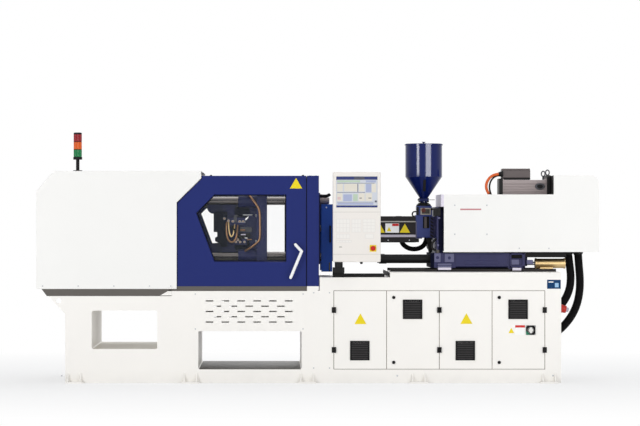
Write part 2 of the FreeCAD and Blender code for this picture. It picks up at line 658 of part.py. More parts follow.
fixed_platen_back = fixed_platen_face + fixed_platen_thickness
platen_pivot_x = moving_platen_face - moving_platen_length
knuckle_rise = tail_pivot_height + rear_link * math.sin(math.radians(rear_link_angle))
platen_reach = (rear_link * math.cos(math.radians(rear_link_angle))
                + math.sqrt(front_link ** 2 - (knuckle_rise - platen_pivot_height) ** 2))
tail_pivot_x = platen_pivot_x - platen_reach
tail_face = tail_pivot_x - tail_face_to_pivot
tail_back = tail_face - tail_thickness
tie_places = [(y, z) for y in (-half_tie, half_tie) for z in (axis_z - half_tie, axis_z + half_tie)]


def platen_plate(x0, x1):
    """A platen's plate with rounded upright corners and four tie bar bores."""
    plate = box(x0, x1, -platen_width / 2, platen_width / 2,
                axis_z - platen_height / 2, axis_z + platen_height / 2)
    plate = filleted(plate, platen_corner, runs_along("x"))
    return less(plate, *[rod_x(x0 - 1, x1 + 1, y, z, tie_radius + running) for y, z in tie_places])


def mould_bolt_holes(face, direction):
    """Tapped holes for the mould, in rectangles about the machine axis."""
    holes = []
    for pitch in platen_bolt_pitches:
        for y in (-pitch / 2, pitch / 2):
            for z in (axis_z - platen_bolt_rise / 2, axis_z + platen_bolt_rise / 2):
                x0, x1 = sorted((face - direction, face + direction * platen_bolt_depth))
                holes.append(rod_x(x0, x1, y, z, platen_bolt_radius))
    return holes


def fixed_platen():
    """Cast plate with locating bore, nozzle well, nut seats, feet, and the purge guard's guide rods."""
    face, back = fixed_platen_face, fixed_platen_back
    plate = platen_plate(face, back)
    bottom = axis_z - platen_height / 2
    for side in (-1, 1):
        foot = box(face + platen_foot_inset, back - platen_foot_inset, side * platen_foot_inner,
                   side * platen_foot_outer, gate_floor_height, bottom)
        plate = joined(plate, foot)
    tools = [rod_x(back - nut_length, back + 1, y, z, nut_radius + 4) for y, z in tie_places]
    tools += mould_bolt_holes(face, 1)
    well = [(face - 1, 0), (face - 1, locating_radius), (face + locating_depth, locating_radius),
            (face + locating_depth, sprue_radius), (back - nozzle_well_depth - 25, sprue_radius),
            (back - nozzle_well_depth, nozzle_well_radius), (back + 1, nozzle_well_radius), (back + 1, 0)]
    tools.append(turned_x(well, 0, axis_z))
    top = axis_z + platen_height / 2
    middle = (face + back) / 2
    for x in (middle - robot_pitch_x / 2, middle + robot_pitch_x / 2):
        for y in (-robot_pitch_y / 2, robot_pitch_y / 2):
            tools.append(rod_z(top - platen_bolt_depth, top + 1, x, y, platen_bolt_radius))
    plate = less(plate, *tools)
    rods = []
    for y in (-hood_rod_y, hood_rod_y):
        rods.append(box(back, hood_left - seat_gap, y - hood_tube, y + hood_tube,
                        hood_rod_z - hood_tube, hood_rod_z + hood_tube))
        rods.append(rod_x(back, hood_rod_right, y, hood_rod_z, hood_rod))
    return joined(plate, *rods)


def tie_bars():
    """Four ground bars with shrunk-on nuts in the fixed platen and a threaded end beyond it."""
    bars = []
    for y, z in tie_places:
        outline = [(tie_left, 0), (tie_left, tie_radius - 2), (tie_left + 2, tie_radius),
                   (fixed_platen_back - nut_length, tie_radius), (fixed_platen_back - nut_length, nut_radius),
                   (fixed_platen_back - 3, nut_radius), (fixed_platen_back, nut_radius - 3),
                   (fixed_platen_back, tie_end_radius), (tie_right, tie_end_radius), (tie_right, 0)]
        bars.append(turned_x(outline, y, z))
    return bars


def moving_platen():
    """Cast mould plate with tie bar bushes, two webs, a cross wall and lugs for the front links."""
    face = moving_platen_face
    plate_back = face - moving_platen_thickness
    wall_back = platen_pivot_x + platen_lug
    platen = platen_plate(plate_back, face)
    for y, z in tie_places:
        bush = rod_x(plate_back - bush_length, plate_back, y, z, bush_radius)
        platen = joined(platen, less(bush, rod_x(plate_back - bush_length - 1, plate_back + 1,
                                                 y, z, tie_radius + running)))
    low, high = axis_z - platen_web_half, axis_z + platen_web_half
    for side in (-1, 1):
        web = box(wall_back, plate_back, side * platen_web_y, side * (platen_web_y + platen_web), low, high)
        for z in (axis_z - platen_web_half / 2, axis_z + platen_web_half / 2):
            hole = rod_y(-platen_width, platen_width, (wall_back + platen_wall + plate_back) / 2, z,
                         platen_web_hole)
            web = less(web, hole)
        platen = joined(platen, web)
    outer_web = platen_web_y + platen_web
    wall = box(wall_back, wall_back + platen_wall, -outer_web, outer_web, low, high)
    wall = less(wall, rod_x(wall_back - 1, wall_back + platen_wall + 1, 0, axis_z, platen_web_hole))
    platen = joined(platen, wall)
    for rise in (-platen_pivot_height, platen_pivot_height):
        z = axis_z + rise
        for side in (-1, 1):
            inner, outer = side * (rear_link_inner + running), side * (rear_link_inner + rear_link_plate)
            lug = joined(box(platen_pivot_x, wall_back, inner, outer, z - toggle_eye, z + toggle_eye),
                         rod_y(min(inner, outer), max(inner, outer), platen_pivot_x, z, toggle_eye))
            platen = joined(platen, lug)
        platen = joined(platen, rod_y(-rear_link_inner - rear_link_plate, rear_link_inner + rear_link_plate,
                                      platen_pivot_x, z, toggle_pin))
    tools = mould_bolt_holes(face, -1)
    tools += [rod_x(plate_back - 1, face + 1, y, z, ejector_rod + running) for y, z in ejector_places]
    return less(platen, *tools)


ejector_places = [(y, axis_z + z) for y in (-ejector_rod_pitch / 2, ejector_rod_pitch / 2)
                  for z in (-ejector_rod_pitch / 2, ejector_rod_pitch / 2)]


def ejector_plate():
    """Ejector plate behind the moving platen, with four push rods through its bores."""
    plate_back = moving_platen_face - moving_platen_thickness
    left = plate_back - ejector_stroke - 2 * ejector_thickness
    half = ejector_rod_pitch / 2 + 2 * ejector_rod
    plate = box(left, left + ejector_thickness, -half, half, axis_z - half, axis_z + half)
    rods = [rod_x(left + ejector_thickness, moving_platen_face - ejector_rod, y, z, ejector_rod)
            for y, z in ejector_places]
    return joined(plate, *rods)


def tail_platen():
    """Cast tail plate with link lugs and pins, crosshead guide rods, drive motor, adjusting nuts and feet."""
    plate = platen_plate(tail_back, tail_face)
    lug_inner = rear_link_inner + rear_link_plate + 1
    lug_outer = lug_inner + rear_link_plate
    for rise in (-tail_pivot_height, tail_pivot_height):
        z = axis_z + rise
        for side in (-1, 1):
            low, high = sorted((side * lug_inner, side * lug_outer))
            plate = joined(plate, box(tail_face, tail_pivot_x, low, high, z - tail_lug, z + tail_lug),
                           rod_y(low, high, tail_pivot_x, z, tail_lug))
        plate = joined(plate, rod_y(-lug_outer, lug_outer, tail_pivot_x, z, toggle_pin))
    for side in (-1, 1):
        plate = joined(plate, rod_x(tail_face, tail_face + guide_rod_length,
                                    side * guide_rod_y, axis_z, guide_rod))
        foot = box(tail_back + platen_foot_inset, tail_face - platen_foot_inset, side * platen_foot_inner,
                   side * platen_foot_outer, cover_bottom + seat_gap, axis_z - platen_height / 2)
        plate = joined(plate, foot)
    for y, z in tie_places:
        nut = rod_x(tail_back - adjuster_length, tail_back, y, z, adjuster_radius)
        plate = joined(plate, less(nut, rod_x(tail_back - adjuster_length - 1, tail_back + 1,
                                              y, z, tie_radius + running)))
    motor = joined(rod_x(tail_back - clamp_motor_length, tail_back, 0, axis_z, clamp_motor_radius),
                   box(tail_back - clamp_motor_flange, tail_back, -clamp_motor_radius, clamp_motor_radius,
                       axis_z - clamp_motor_radius, axis_z + clamp_motor_radius))
    bore = rod_x(tail_back - screw_seat, tail_face + 1, 0, axis_z, screw_radius + running)
    return less(joined(plate, motor), bore)


def clamp_screw():
    """Ball screw from the motor through the tail platen and the crosshead."""
    left = tail_back - screw_seat
    return turned_x([(left, 0), (left, screw_radius), (tail_face + clamp_screw_length - 4, screw_radius),
                     (tail_face + clamp_screw_length, screw_radius - 4), (tail_face + clamp_screw_length, 0)],
                    0, axis_z)


def along(start, angle, length):
    """A point (x, z) at an angle above +X from a start point."""
    turn = math.radians(angle)
    return start[0] + length * math.cos(turn), start[1] + length * math.sin(turn)


# Toggle geometry in side view, as (x, height above the machine axis), for the upper half
tail_pivot = (tail_pivot_x, tail_pivot_height)
knuckle = along(tail_pivot, rear_link_angle, rear_link)
cross_on_link = along(tail_pivot, rear_link_angle, cross_pivot_on_link)
platen_pivot = (platen_pivot_x, platen_pivot_height)
cross_rise = cross_on_link[1] - cross_pivot_height
crosshead_x = cross_on_link[0] + math.sqrt(cross_link ** 2 - cross_rise ** 2)
cross_pivot = (crosshead_x, cross_pivot_height)


def link_plate(start, end, half, start_eye, end_eye, y0, y1):
    """A link's side plate: a bar between two round eyes."""
    length = math.hypot(end[0] - start[0], end[1] - start[1])
    across_x, across_z = (start[1] - end[1]) / length * half, (end[0] - start[0]) / length * half
    outline = [(start[0] + across_x, start[1] + across_z), (end[0] + across_x, end[1] + across_z),
               (end[0] - across_x, end[1] - across_z), (start[0] - across_x, start[1] - across_z)]
    return joined(prism_y(outline, y0, y1), rod_y(y0, y1, start[0], start[1], start_eye),
                  rod_y(y0, y1, end[0], end[1], end_eye))


def across_y(point, radius, half):
    """A pin or bore across the machine through a toggle point."""
    return rod_y(-half, half, point[0], point[1], radius)


def placed(link, upper):
    """Puts a link drawn about the axis in its place, mirrored for the lower half."""
    if not upper:
        link = link.mirror(FreeCAD.Vector(0, 0, 0), FreeCAD.Vector(0, 0, 1))
    link.translate(FreeCAD.Vector(0, 0, axis_z))
    return link


def rear_toggle_link(upper):
    """Pair of forged side plates with the knuckle pin and the crosshead link's pin pressed in."""
    outer = rear_link_inner + rear_link_plate
    plates = [link_plate(tail_pivot, knuckle, toggle_eye * 0.7, toggle_eye, toggle_eye * 0.9,
                         y0, y0 + rear_link_plate) for y0 in (-outer, rear_link_inner)]
    plates = [less(plate, across_y(tail_pivot, toggle_pin + running, outer + 1)) for plate in plates]
    pins = [across_y(knuckle, knuckle_pin, outer), across_y(cross_on_link, cross_pin, outer)]
    return placed(joined(*plates, *pins), upper)


def front_toggle_link(upper):
    """Broad forged link from the moving platen, with a slack eye round the knuckle pin."""
    half = rear_link_inner - link_air
    link = link_plate(knuckle, platen_pivot, toggle_eye * 0.6, knuckle_pin + knuckle_slack + knuckle_wall,
                      toggle_eye, -half, half)
    return placed(less(link, across_y(knuckle, knuckle_pin + knuckle_slack, half + 1),
                       across_y(platen_pivot, toggle_pin + running, half + 1)), upper)


def crosshead():
    """Block on the clamp screw and guide rods, with lugs for the two short links."""
    half_length = crosshead_length / 2
    lug_outer = cross_link_width + link_air
    web, hub = screw_radius + crosshead_wall, screw_radius + crosshead_hub
    left, right = crosshead_x - half_length, crosshead_x + half_length
    block = joined(box(left, right, -crosshead_reach, crosshead_reach, -web, web),
                   box(left, right, -lug_outer, lug_outer, -hub, hub))
    for side in (-1, 1):
        for level in (-1, 1):
            low, high = sorted((side * (cross_link_width / 2 + link_air / 2), side * lug_outer))
            z = level * cross_pivot_height
            block = joined(block, rod_y(low, high, crosshead_x, z, cross_eye),
                           box(crosshead_x - cross_eye, crosshead_x + cross_eye, low, high, 0, z))
    for level in (-1, 1):
        pin = rod_y(-lug_outer, lug_outer, crosshead_x, level * cross_pivot_height, cross_pin)
        block = joined(block, pin)
    bores = [rod_x(left - 1, right + 1, y, 0, guide_rod + running) for y in (-guide_rod_y, guide_rod_y)]
    block = less(block, rod_x(left - 1, right + 1, 0, 0, screw_radius + running), *bores)
    block.translate(FreeCAD.Vector(0, 0, axis_z))
    return block


def crosshead_link(upper):
    """Short link from the crosshead, with a slack eye round the pin in the rear link."""
    half = cross_link_width / 2
    link = link_plate(cross_pivot, cross_on_link, cross_pin, cross_eye, cross_pin + cross_slack + cross_wall,
                      -half, half)
    return placed(less(link, across_y(cross_pivot, cross_pin + running, half + 1),
                       across_y(cross_on_link, cross_pin + cross_slack, half + 1)), upper)


panel_front = panel_back - panel_depth
panel_y = (panel_front + panel_back) / 2


def panel_arm():
    """Bracket on the injection bed's deck that reaches forward and carries the swivel."""
    left, right = swivel_x - arm_width / 2, swivel_x + arm_width / 2
    root_back = -half_bed + arm_inset + arm_root
    root = box(left, right, -half_bed + arm_inset, root_back, low_deck_height, deck_height)
    reach = box(left, right, panel_y - arm_height, root_back, deck_height, deck_height + arm_height)
    reach = filleted(reach, arm_height / 2 - 1, lambda edge: runs_along("z")(edge)
                     and edge.Vertexes[0].Point.y < panel_y)
    collar = rod_z(deck_height, panel_bottom - seat_gap, swivel_x, panel_y, swivel_radius * 1.6)
    return joined(root, reach, collar,
                  rod_z(deck_height, panel_bottom + swivel_depth, swivel_x, panel_y, swivel_radius))


def control_panel():
    """Panel housing with rounded edges, a recess for the screen, key fields and a swivel socket."""
    body = box(panel_left, panel_right, panel_front, panel_back, panel_bottom, panel_top)
    body = filleted(body, panel_round, lambda edge: abs(edge.Vertexes[0].Point.y - panel_front) < 1e-6
                    or runs_along("y")(edge))
    tools = [box(screen_left, screen_right, panel_front - 1, panel_front + screen_depth,
                 screen_bottom, screen_top),
             rod_z(panel_bottom - 1, panel_bottom + swivel_depth + 1, swivel_x, panel_y,
                   swivel_radius + running),
             rod_y(panel_front - 1, panel_front + stop_seat, stop_x, stop_z, stop_stem + running)]
    for seam in (seam_upper, seam_lower):
        tools.append(box(panel_left - 1, panel_right + 1, panel_front - 1, panel_front + 2,
                         seam - 1, seam + 1))
    return less(body, *tools)


def panel_screen():
    """Screen glass in the panel's recess."""
    gap = 0.5
    return box(screen_left + gap, screen_right - gap, panel_front + 2, panel_front + screen_depth,
               screen_bottom + gap, screen_top - gap)


def emergency_stop():
    """Mushroom button on a stem."""
    back = panel_front - stop_travel - 1
    stem = rod_y(back, panel_front + stop_seat - stop_travel - 1, stop_x, stop_z, stop_stem)
    cap = rod_y(back - 14, back, stop_x, stop_z, stop_radius)
    cap = filleted(cap, 5, lambda edge: abs(edge.BoundBox.YMin - (back - 14)) < 1e-6
                   and abs(edge.BoundBox.YMax - (back - 14)) < 1e-6)
    return joined(stem, cap)


def purge_guard():
    """Sliding hood over the nozzle: two stepped sides, top and part of an end, hung on two rods."""
    hood = box(hood_left, hood_right, -hood_half, hood_half, hood_top - sheet, hood_top)
    step_x, step_z = hood_left + hood_skirt, hood_bottom + hood_step
    side_outline = [(hood_left, hood_bottom), (step_x, hood_bottom), (step_x, step_z),
                    (hood_right, step_z), (hood_right, hood_top), (hood_left, hood_top)]
    bores = []
    for side in (-1, 1):
        inner, outer = side * (hood_half - sheet), side * hood_half
        hood = joined(hood, prism_y(side_outline, *sorted((inner, outer))),
                      box(hood_right - sheet, hood_right, outer, side * (hood_half - hood_side_reach),
                          hood_side_bottom, hood_top),
                      rod_x(hood_left, hood_right, side * hood_rod_y, hood_rod_z, hood_tube))
        bores.append(rod_x(hood_left - 1, hood_right + 1, side * hood_rod_y, hood_rod_z, hood_rod + running))
    return less(hood, *bores)


def barrel():
    """Barrel with nozzle, heater bands and rear flange, bored for the screw."""
    start = nozzle_tip + nozzle_length
    nose = nozzle_tip + nozzle_radius
    outline = [(nozzle_tip, nozzle_bore), (nozzle_tip, nozzle_radius * 0.5), (nose, nozzle_radius),
               (start, nozzle_radius), (start, barrel_radius)]
    band_pitch = (feed_left - start) / heater_count
    for band in range(heater_count):
        left = start + (band + 0.12) * band_pitch
        right = left + band_pitch * 0.76
        outline += [(left, barrel_radius), (left, heater_radius),
                    (right, heater_radius), (right, barrel_radius)]
    outline += [(feed_right, barrel_radius), (feed_right, flange_radius), (front_plate_left, flange_radius),
                (front_plate_left, barrel_bore), (start, barrel_bore), (start, nozzle_bore)]
    solid = turned_x(outline, 0, axis_z)
    return less(solid, rod_z(axis_z, axis_z + barrel_radius + 1, hopper_x, 0, barrel_bore - 1))


def barrel_cover():
    """Sheet cover over the heater bands with a recessed band on each side, open below the barrel."""
    half = barrel_cover_width / 2
    recessed = half - barrel_band_depth
    right_side = [(half, barrel_cover_top), (half, barrel_band_top), (recessed, barrel_band_top),
                  (recessed, barrel_band_bottom), (half, barrel_band_bottom), (half, barrel_cover_bottom)]
    left_side = [(-y, z) for y, z in reversed(right_side)]
    cover = prism_x(right_side + left_side, barrel_cover_left, feed_left)
    inner = recessed - sheet
    return less(cover, box(barrel_cover_left - 1, feed_left + 1, -inner, inner,
                           barrel_cover_bottom - 1, barrel_cover_top - sheet))


def feed_block():
    """Cooled feed housing round the barrel's inlet, with the magnet drawer's block on top."""
    half, throat_half = feed_width / 2, throat_block_width / 2
    block = filleted(box(feed_left, feed_right, -half, half, feed_bottom, feed_top), 8, runs_along("x"))
    block = joined(block, box(throat_block_left, throat_block_right, -throat_half, throat_half,
                              feed_top, hopper_base),
                   rod_y(-throat_half - 8, -throat_half, hopper_x - 8, (feed_top + hopper_base) / 2, 14))
    slot = box(hopper_x - 11, hopper_x + 43, -half - 1, -half + 14, axis_z, feed_top - 10)
    return less(block, slot, rod_x(feed_left - 1, feed_right + 1, 0, axis_z, barrel_radius + running),
                rod_z(axis_z, hopper_base + 1, hopper_x, 0, throat_radius))


def plasticising_screw():
    """Screw in the barrel: pointed tip, flighted length with a thread of lands, shank to the ram."""
    radius = barrel_bore - 2 * running
    tip = nozzle_tip + nozzle_length + screw_tip_gap
    outline = [(tip, 0), (tip + 30, radius * 0.8), (tip + 30, radius)]
    lands = int((feed_right - tip - 60) / flight_pitch)
    for land in range(lands):
        x = tip + 40 + land * flight_pitch
        outline += [(x, radius), (x + 3, radius * 0.72), (x + flight_pitch - 8, radius * 0.72),
                    (x + flight_pitch - 5, radius)]
    right = ram_left + ram_thickness
    outline += [(right, radius), (right, 0)]
    return turned_x(outline, 0, axis_z)


def injection_ram():
    """Pusher plate that carries the screw and slides on the guide rods."""
    plate = box(ram_left, ram_left + ram_thickness - 1, -ram_width / 2, ram_width / 2,
                axis_z - ram_height / 2, axis_z + ram_height / 2)
    plate = filleted(plate, 20, runs_along("x"))
    bores = [rod_x(ram_left - 1, ram_left + ram_thickness, y, axis_z, ram_guide + running)
             for y in (-ram_guide_y, ram_guide_y)]
    return less(plate, rod_x(ram_left - 1, ram_left + ram_thickness, 0, axis_z, barrel_bore), *bores)


def hopper():
    """Spun hopper: rolled rim, cylinder, cone with a sight slot, neck, and the box of the slide gate."""
    inner, wall = throat_radius, hopper_wall
    neck = inner + wall
    slope = wall * 1.25
    foot = hopper_base + hopper_roll
    outline = [(inner, hopper_base), (hopper_foot, hopper_base), (hopper_foot, foot), (neck, foot),
               (neck, hopper_cone_bottom), (hopper_radius, hopper_cone_top),
               (hopper_radius, hopper_top - hopper_roll), (hopper_rim, hopper_top - hopper_roll),
               (hopper_rim, hopper_top),
               (hopper_radius - wall, hopper_top), (hopper_radius - wall, hopper_cone_top + slope * 0.3),
               (inner, hopper_cone_bottom + slope * 0.3)]
    shell = turned(outline, hopper_x, 0)
    half = slide_box
    low, high = slide_bottom - slide_wall, slide_bottom + slide_plate + slide_wall
    gate_box = box(hopper_x - half, hopper_x + half, -half, half, low, high)
    gate_box = less(gate_box, rod_z(low - 1, high + 1, hopper_x, 0, inner + 1))
    slot_half = slide_width / 2 + seat_gap
    slot = box(hopper_x - half - 1, hopper_x + half + 1, -slot_half, slot_half,
               slide_bottom - seat_gap, slide_bottom + slide_plate + seat_gap)
    sight = box(hopper_x - sight_width / 2, hopper_x + sight_width / 2, -hopper_radius, 0,
                sight_bottom, sight_top)
    return less(joined(shell, gate_box), slot, sight)


def hopper_slide():
    """Thin slide gate through the hopper's neck, shut at rest, with a hole at its outer end."""
    plate = box(slide_left, slide_left + slide_length, -slide_width / 2, slide_width / 2,
                slide_bottom, slide_bottom + slide_plate)
    plate = filleted(plate, 8, runs_along("z"))
    hole = rod_z(slide_bottom - 1, slide_bottom + slide_plate + 1, hopper_x + slide_travel, 0,
                 throat_radius - hopper_wall)
    grip = rod_z(slide_bottom - 6, slide_bottom + slide_plate + 6, slide_left + slide_grip + 1, 0,
                 slide_grip)
    return joined(less(plate, hole), grip)


def hopper_lid():
    """Loose flat lid with a turned-down edge and a knob."""
    bottom = hopper_top + seat_gap
    outline = [(0, bottom), (hopper_rim, bottom), (hopper_rim, bottom + lid_thickness - 2),
               (hopper_rim - 2, bottom + lid_thickness), (lid_knob * 0.5, bottom + lid_thickness),
               (lid_knob * 0.5, bottom + lid_thickness + 8), (lid_knob, bottom + lid_thickness + 12),
               (lid_knob, bottom + lid_thickness + 18), (0, bottom + lid_thickness + 20)]
    return turned(outline, hopper_x, 0)


def injection_base():
    """Cast carriage: side beams with feet on the rails, deck, front plate, ram guides, rear plate."""
    half = base_width / 2
    deck = box(base_left, base_right, -half, half, base_top - base_deck, base_top)
    parts = [deck]
    for side in (-1, 1):
        inner, outer = sorted((side * (half - base_beam), side * half))
        parts.append(box(base_left, base_right, inner, outer, base_bottom + base_rise, base_top))
        for x in (base_left + shoe_insets[0], base_right - shoe_length - shoe_insets[1]):
            shoe = box(x, x + shoe_length, side * rail_y - shoe_width / 2, side * rail_y + shoe_width / 2,
                       deck_height + rail_height + seat_gap, base_bottom + base_rise + 1)
            parts.append(shoe)
    parts.append(box(base_left, base_left + base_beam, -half, half, base_bottom + base_rise, base_top))
    parts.append(box(base_right - base_beam, base_right, -half, half, base_bottom + base_rise, base_top))
    plate_half = front_plate_width / 2
    front = box(front_plate_left, front_plate_left + front_plate_thickness, -plate_half, plate_half,
                base_top - 1, front_plate_top)
    front = filleted(front, 30, lambda edge: runs_along("x")(edge) and edge.Vertexes[0].Point.z > base_top)
    rear_left = ram_guide_right
    rear_half = plate_half - rear_plate_inset
    rear = box(rear_left, rear_left + front_plate_thickness, -rear_half, rear_half,
               base_top - 1, motor_z - motor_half)
    parts += [front, rear]
    for y in (-ram_guide_y, ram_guide_y):
        parts.append(rod_x(front_plate_left, rear_left + 10, y, axis_z, ram_guide))
    bores = [rod_x(front_plate_left - 1, front_plate_left + front_plate_thickness + 1, 0, axis_z,
                   barrel_bore + 4)]
    bores += [rod_x(base_left - 1, base_left + base_beam + 1, y, thrust_z, thrust_radius + running)
              for y in (-thrust_y, thrust_y)]
    left, right, way = base_right - base_beam - 1, base_right + 1, drive_radius + drive_slack
    bores.append(rod_x(left, right, drive_y, drive_z, way))
    bores.append(box(left, right, drive_y - way, drive_y + way, base_bottom, drive_z))
    return less(joined(*parts), *bores)


def slide_rails():
    """Two hardened rails along the deck of the injection bed."""
    rail = box(rail_left, rail_right, -rail_y - rail_width / 2, -rail_y + rail_width / 2,
               deck_height, deck_height + rail_height)
    return both_sides(rail)


def thrust_rods():
    """Two pull-in tubes from the fixed platen into bores in the carriage's front beam."""
    outline = [(fixed_platen_back, 0), (fixed_platen_back, thrust_rod), (thrust_left, thrust_rod),
               (thrust_left, thrust_radius + thrust_collar_rise),
               (thrust_left + thrust_collar, thrust_radius + thrust_collar_rise),
               (thrust_left + thrust_collar, thrust_radius), (base_left + thrust_overlap, thrust_radius),
               (base_left + thrust_overlap, 0)]
    return [turned_x(outline, y, thrust_z) for y in (-thrust_y, thrust_y)]


def carriage_drive():
    """Geared drive of the carriage: a brass-coloured drum with end flanges on a foot at the deck's end."""
    left = base_right + drive_gap
    right = left + drive_length
    outline = [(left, 0), (left, drive_radius), (left + 12, drive_radius), (left + 12, drive_radius - 4),
               (right - 12, drive_radius - 4), (right - 12, drive_radius), (right, drive_radius), (right, 0)]
    drum = turned_x(outline, drive_y, drive_z)
    foot = box(left + 40, injection_bed_length - 20, drive_y - drive_radius / 2, drive_y + drive_radius / 2,
               deck_height, drive_z - drive_radius / 2)
    return joined(drum, foot)


def unit_outline():
    return ((unit_left, unit_bottom), (unit_right, unit_bottom), (unit_right, unit_rear_top),
            (unit_rear_left, unit_rear_top), (unit_rear_left, unit_top), (unit_left, unit_top))


def unit_corner_at(offset):
    """A test for the long edge at the cover's upper rear corner."""
    def test(edge):
        point = edge.Vertexes[0].Point
        return (runs_along("y")(edge) and abs(point.x - unit_right + offset) < 1e-6
                and abs(point.z - unit_rear_top + offset) < 1e-6)
    return test


def injection_cover():
    """Sheet hood over the injection drive with a raised rear part, open in front and mostly below."""
    half = unit_width / 2
    shell = drawn_y(outline_face(unit_outline(), -half), unit_width)
    shell = filleted(shell, unit_corner, unit_corner_at(0))
    inside = drawn_y(outline_face(unit_outline(), -half + sheet, -sheet), unit_width - 2 * sheet)
    inside = filleted(inside, unit_corner - sheet, unit_corner_at(sheet))
    inner = half - sheet
    front_way = box(unit_left - 1, unit_left + sheet + 1, -inner, inner, unit_bottom - 1, unit_top - sheet)
    bottom_way = box(unit_left - 1, unit_floor_left, -inner, inner, unit_bottom - 1, unit_bottom + sheet + 1)
    way_half = motor_half + motor_bell + 5
    motor_way = box(motor_left - 10, unit_rear_left - seat_gap, -way_half, way_half,
                    unit_top - sheet - 1, unit_top + 1)
    cap = box(unit_left - unit_cap, unit_left, -half, half, front_plate_top + seat_gap, unit_top)
    return joined(less(shell, inside, front_way, bottom_way, motor_way), cap)


def injection_motor():
    """Finned servo motor with end bells, junction box and two lifting eyes."""
    half, bell = motor_half, motor_half + motor_bell
    body = filleted(box(motor_left, motor_right, -half, half, motor_z - half, motor_z + half), motor_round,
                    runs_along("x"))
    grooves = []
    left, right = motor_left + motor_flange + fin_inset, motor_right - motor_end - fin_inset
    for number in range(-fin_count, fin_count + 1):
        at = number * fin_pitch
        grooves.append(box(left, right, at - fin_pitch / 4, at + fin_pitch / 4,
                           motor_z + half - fin_depth, motor_z + half + 1))
        for side in (-1, 1):
            grooves.append(box(left, right, side * (half - fin_depth), side * (half + 1),
                               motor_z + at - fin_pitch / 4, motor_z + at + fin_pitch / 4))
    box_left = motor_left + junction_inset
    box_right = box_left + junction_length
    body = less(body, *grooves)
    top = motor_z + half
    end = filleted(box(motor_right - motor_end, motor_right, -bell, bell, motor_z - half, motor_z + bell),
                   bell_round, runs_along("x"))
    junction = filleted(box(box_left, box_right, -junction_width / 2, junction_width / 2,
                            top - fin_depth - 1, top + junction_height), junction_round, runs_along("z"))
    motor = joined(body, end, junction)
    for inset in eye_insets:
        x, eye_z = motor_right - motor_end - inset, top + eye_radius + eye_rise
        eye = Part.makeTorus(eye_radius, eye_bar, FreeCAD.Vector(x, 0, eye_z), FreeCAD.Vector(0, 1, 0))
        motor = joined(motor, eye, rod_z(top - fin_depth - 1, top + eye_rise + 2, x, 0, eye_stem))
    return motor


def route_wire(points):
    """Straight runs joined by tangent arcs, each as large as its two runs allow."""
    vectors = [FreeCAD.Vector(*point) for point in points]
    edges, start, radii = [], vectors[0], []
    for before, corner, after in zip(vectors, vectors[1:], vectors[2:]):
        into, out = corner - before, after - corner
        half_turn = into.getAngle(out) / 2
        reach = arc_share * min(into.Length, out.Length)
        radii.append(reach / math.tan(half_turn))
        into.normalize()
        out.normalize()
        first, last = corner - into * reach, corner + out * reach
        bulge = out - into
        bulge.normalize()
        centre = corner + bulge * (radii[-1] / math.cos(half_turn))
        middle = centre - bulge * radii[-1]
        edges += [Part.LineSegment(start, first).toShape(), Part.Arc(first, middle, last).toShape()]
        start = last
    edges.append(Part.LineSegment(start, vectors[-1]).toShape())
    return Part.Wire(edges), radii


def cord_tube(name, points, diameter):
    """A round tube along a route; prints its tightest radius and its volume against section times length."""
    wire, radii = route_wire(points)
    heading = FreeCAD.Vector(*points[1]) - FreeCAD.Vector(*points[0])
    circle = Part.Wire(Part.makeCircle(diameter / 2, FreeCAD.Vector(*points[0]), heading))
    tube = wire.makePipeShell([circle], True, False)
    share = tube.Volume / (math.pi * diameter ** 2 / 4 * wire.Length)
    print(name, "radii from", round(min(radii)), "mm, volume share", round(share, 4))
    return tube


def supply_hoses():
    """Two corrugated conduits from under the rear of the cover to the bed's end, cut flush there."""
    hoses = []
    bed_end = box(0, injection_bed_length, -half_bed, half_bed, 0, unit_bottom)
    cover = box(0, unit_right, -half_bed, half_bed, unit_bottom, unit_top)
    for name, points in (("inner hose", inner_hose), ("outer hose", outer_hose)):
        hoses.append(less(cord_tube(name, points, hose_diameter), bed_end, cover))
    return hoses


def carriage_cables():
    """Motor cable and its thin companion, and the cooling hose slung under the barrel."""
    below_cover = box(unit_left, unit_right, -half_bed, half_bed, unit_bottom, unit_top)
    junction = box(motor_left + junction_inset, motor_right, -half_bed, half_bed, unit_top, unit_rear_top * 2)
    power = less(cord_tube("motor cable", motor_cable, motor_cable_diameter), below_cover, junction)
    signal = less(cord_tube("signal cable", signal_cable, signal_cable_diameter), below_cover, junction)
    cooling = less(cord_tube("cooling hose", cooling_hose, cooling_hose_diameter),
                   rod_x(nozzle_tip, feed_left, 0, axis_z, heater_radius),
                   box(feed_left, feed_right, -feed_width / 2, feed_width / 2, feed_bottom, feed_top))
    return [power, signal, cooling]


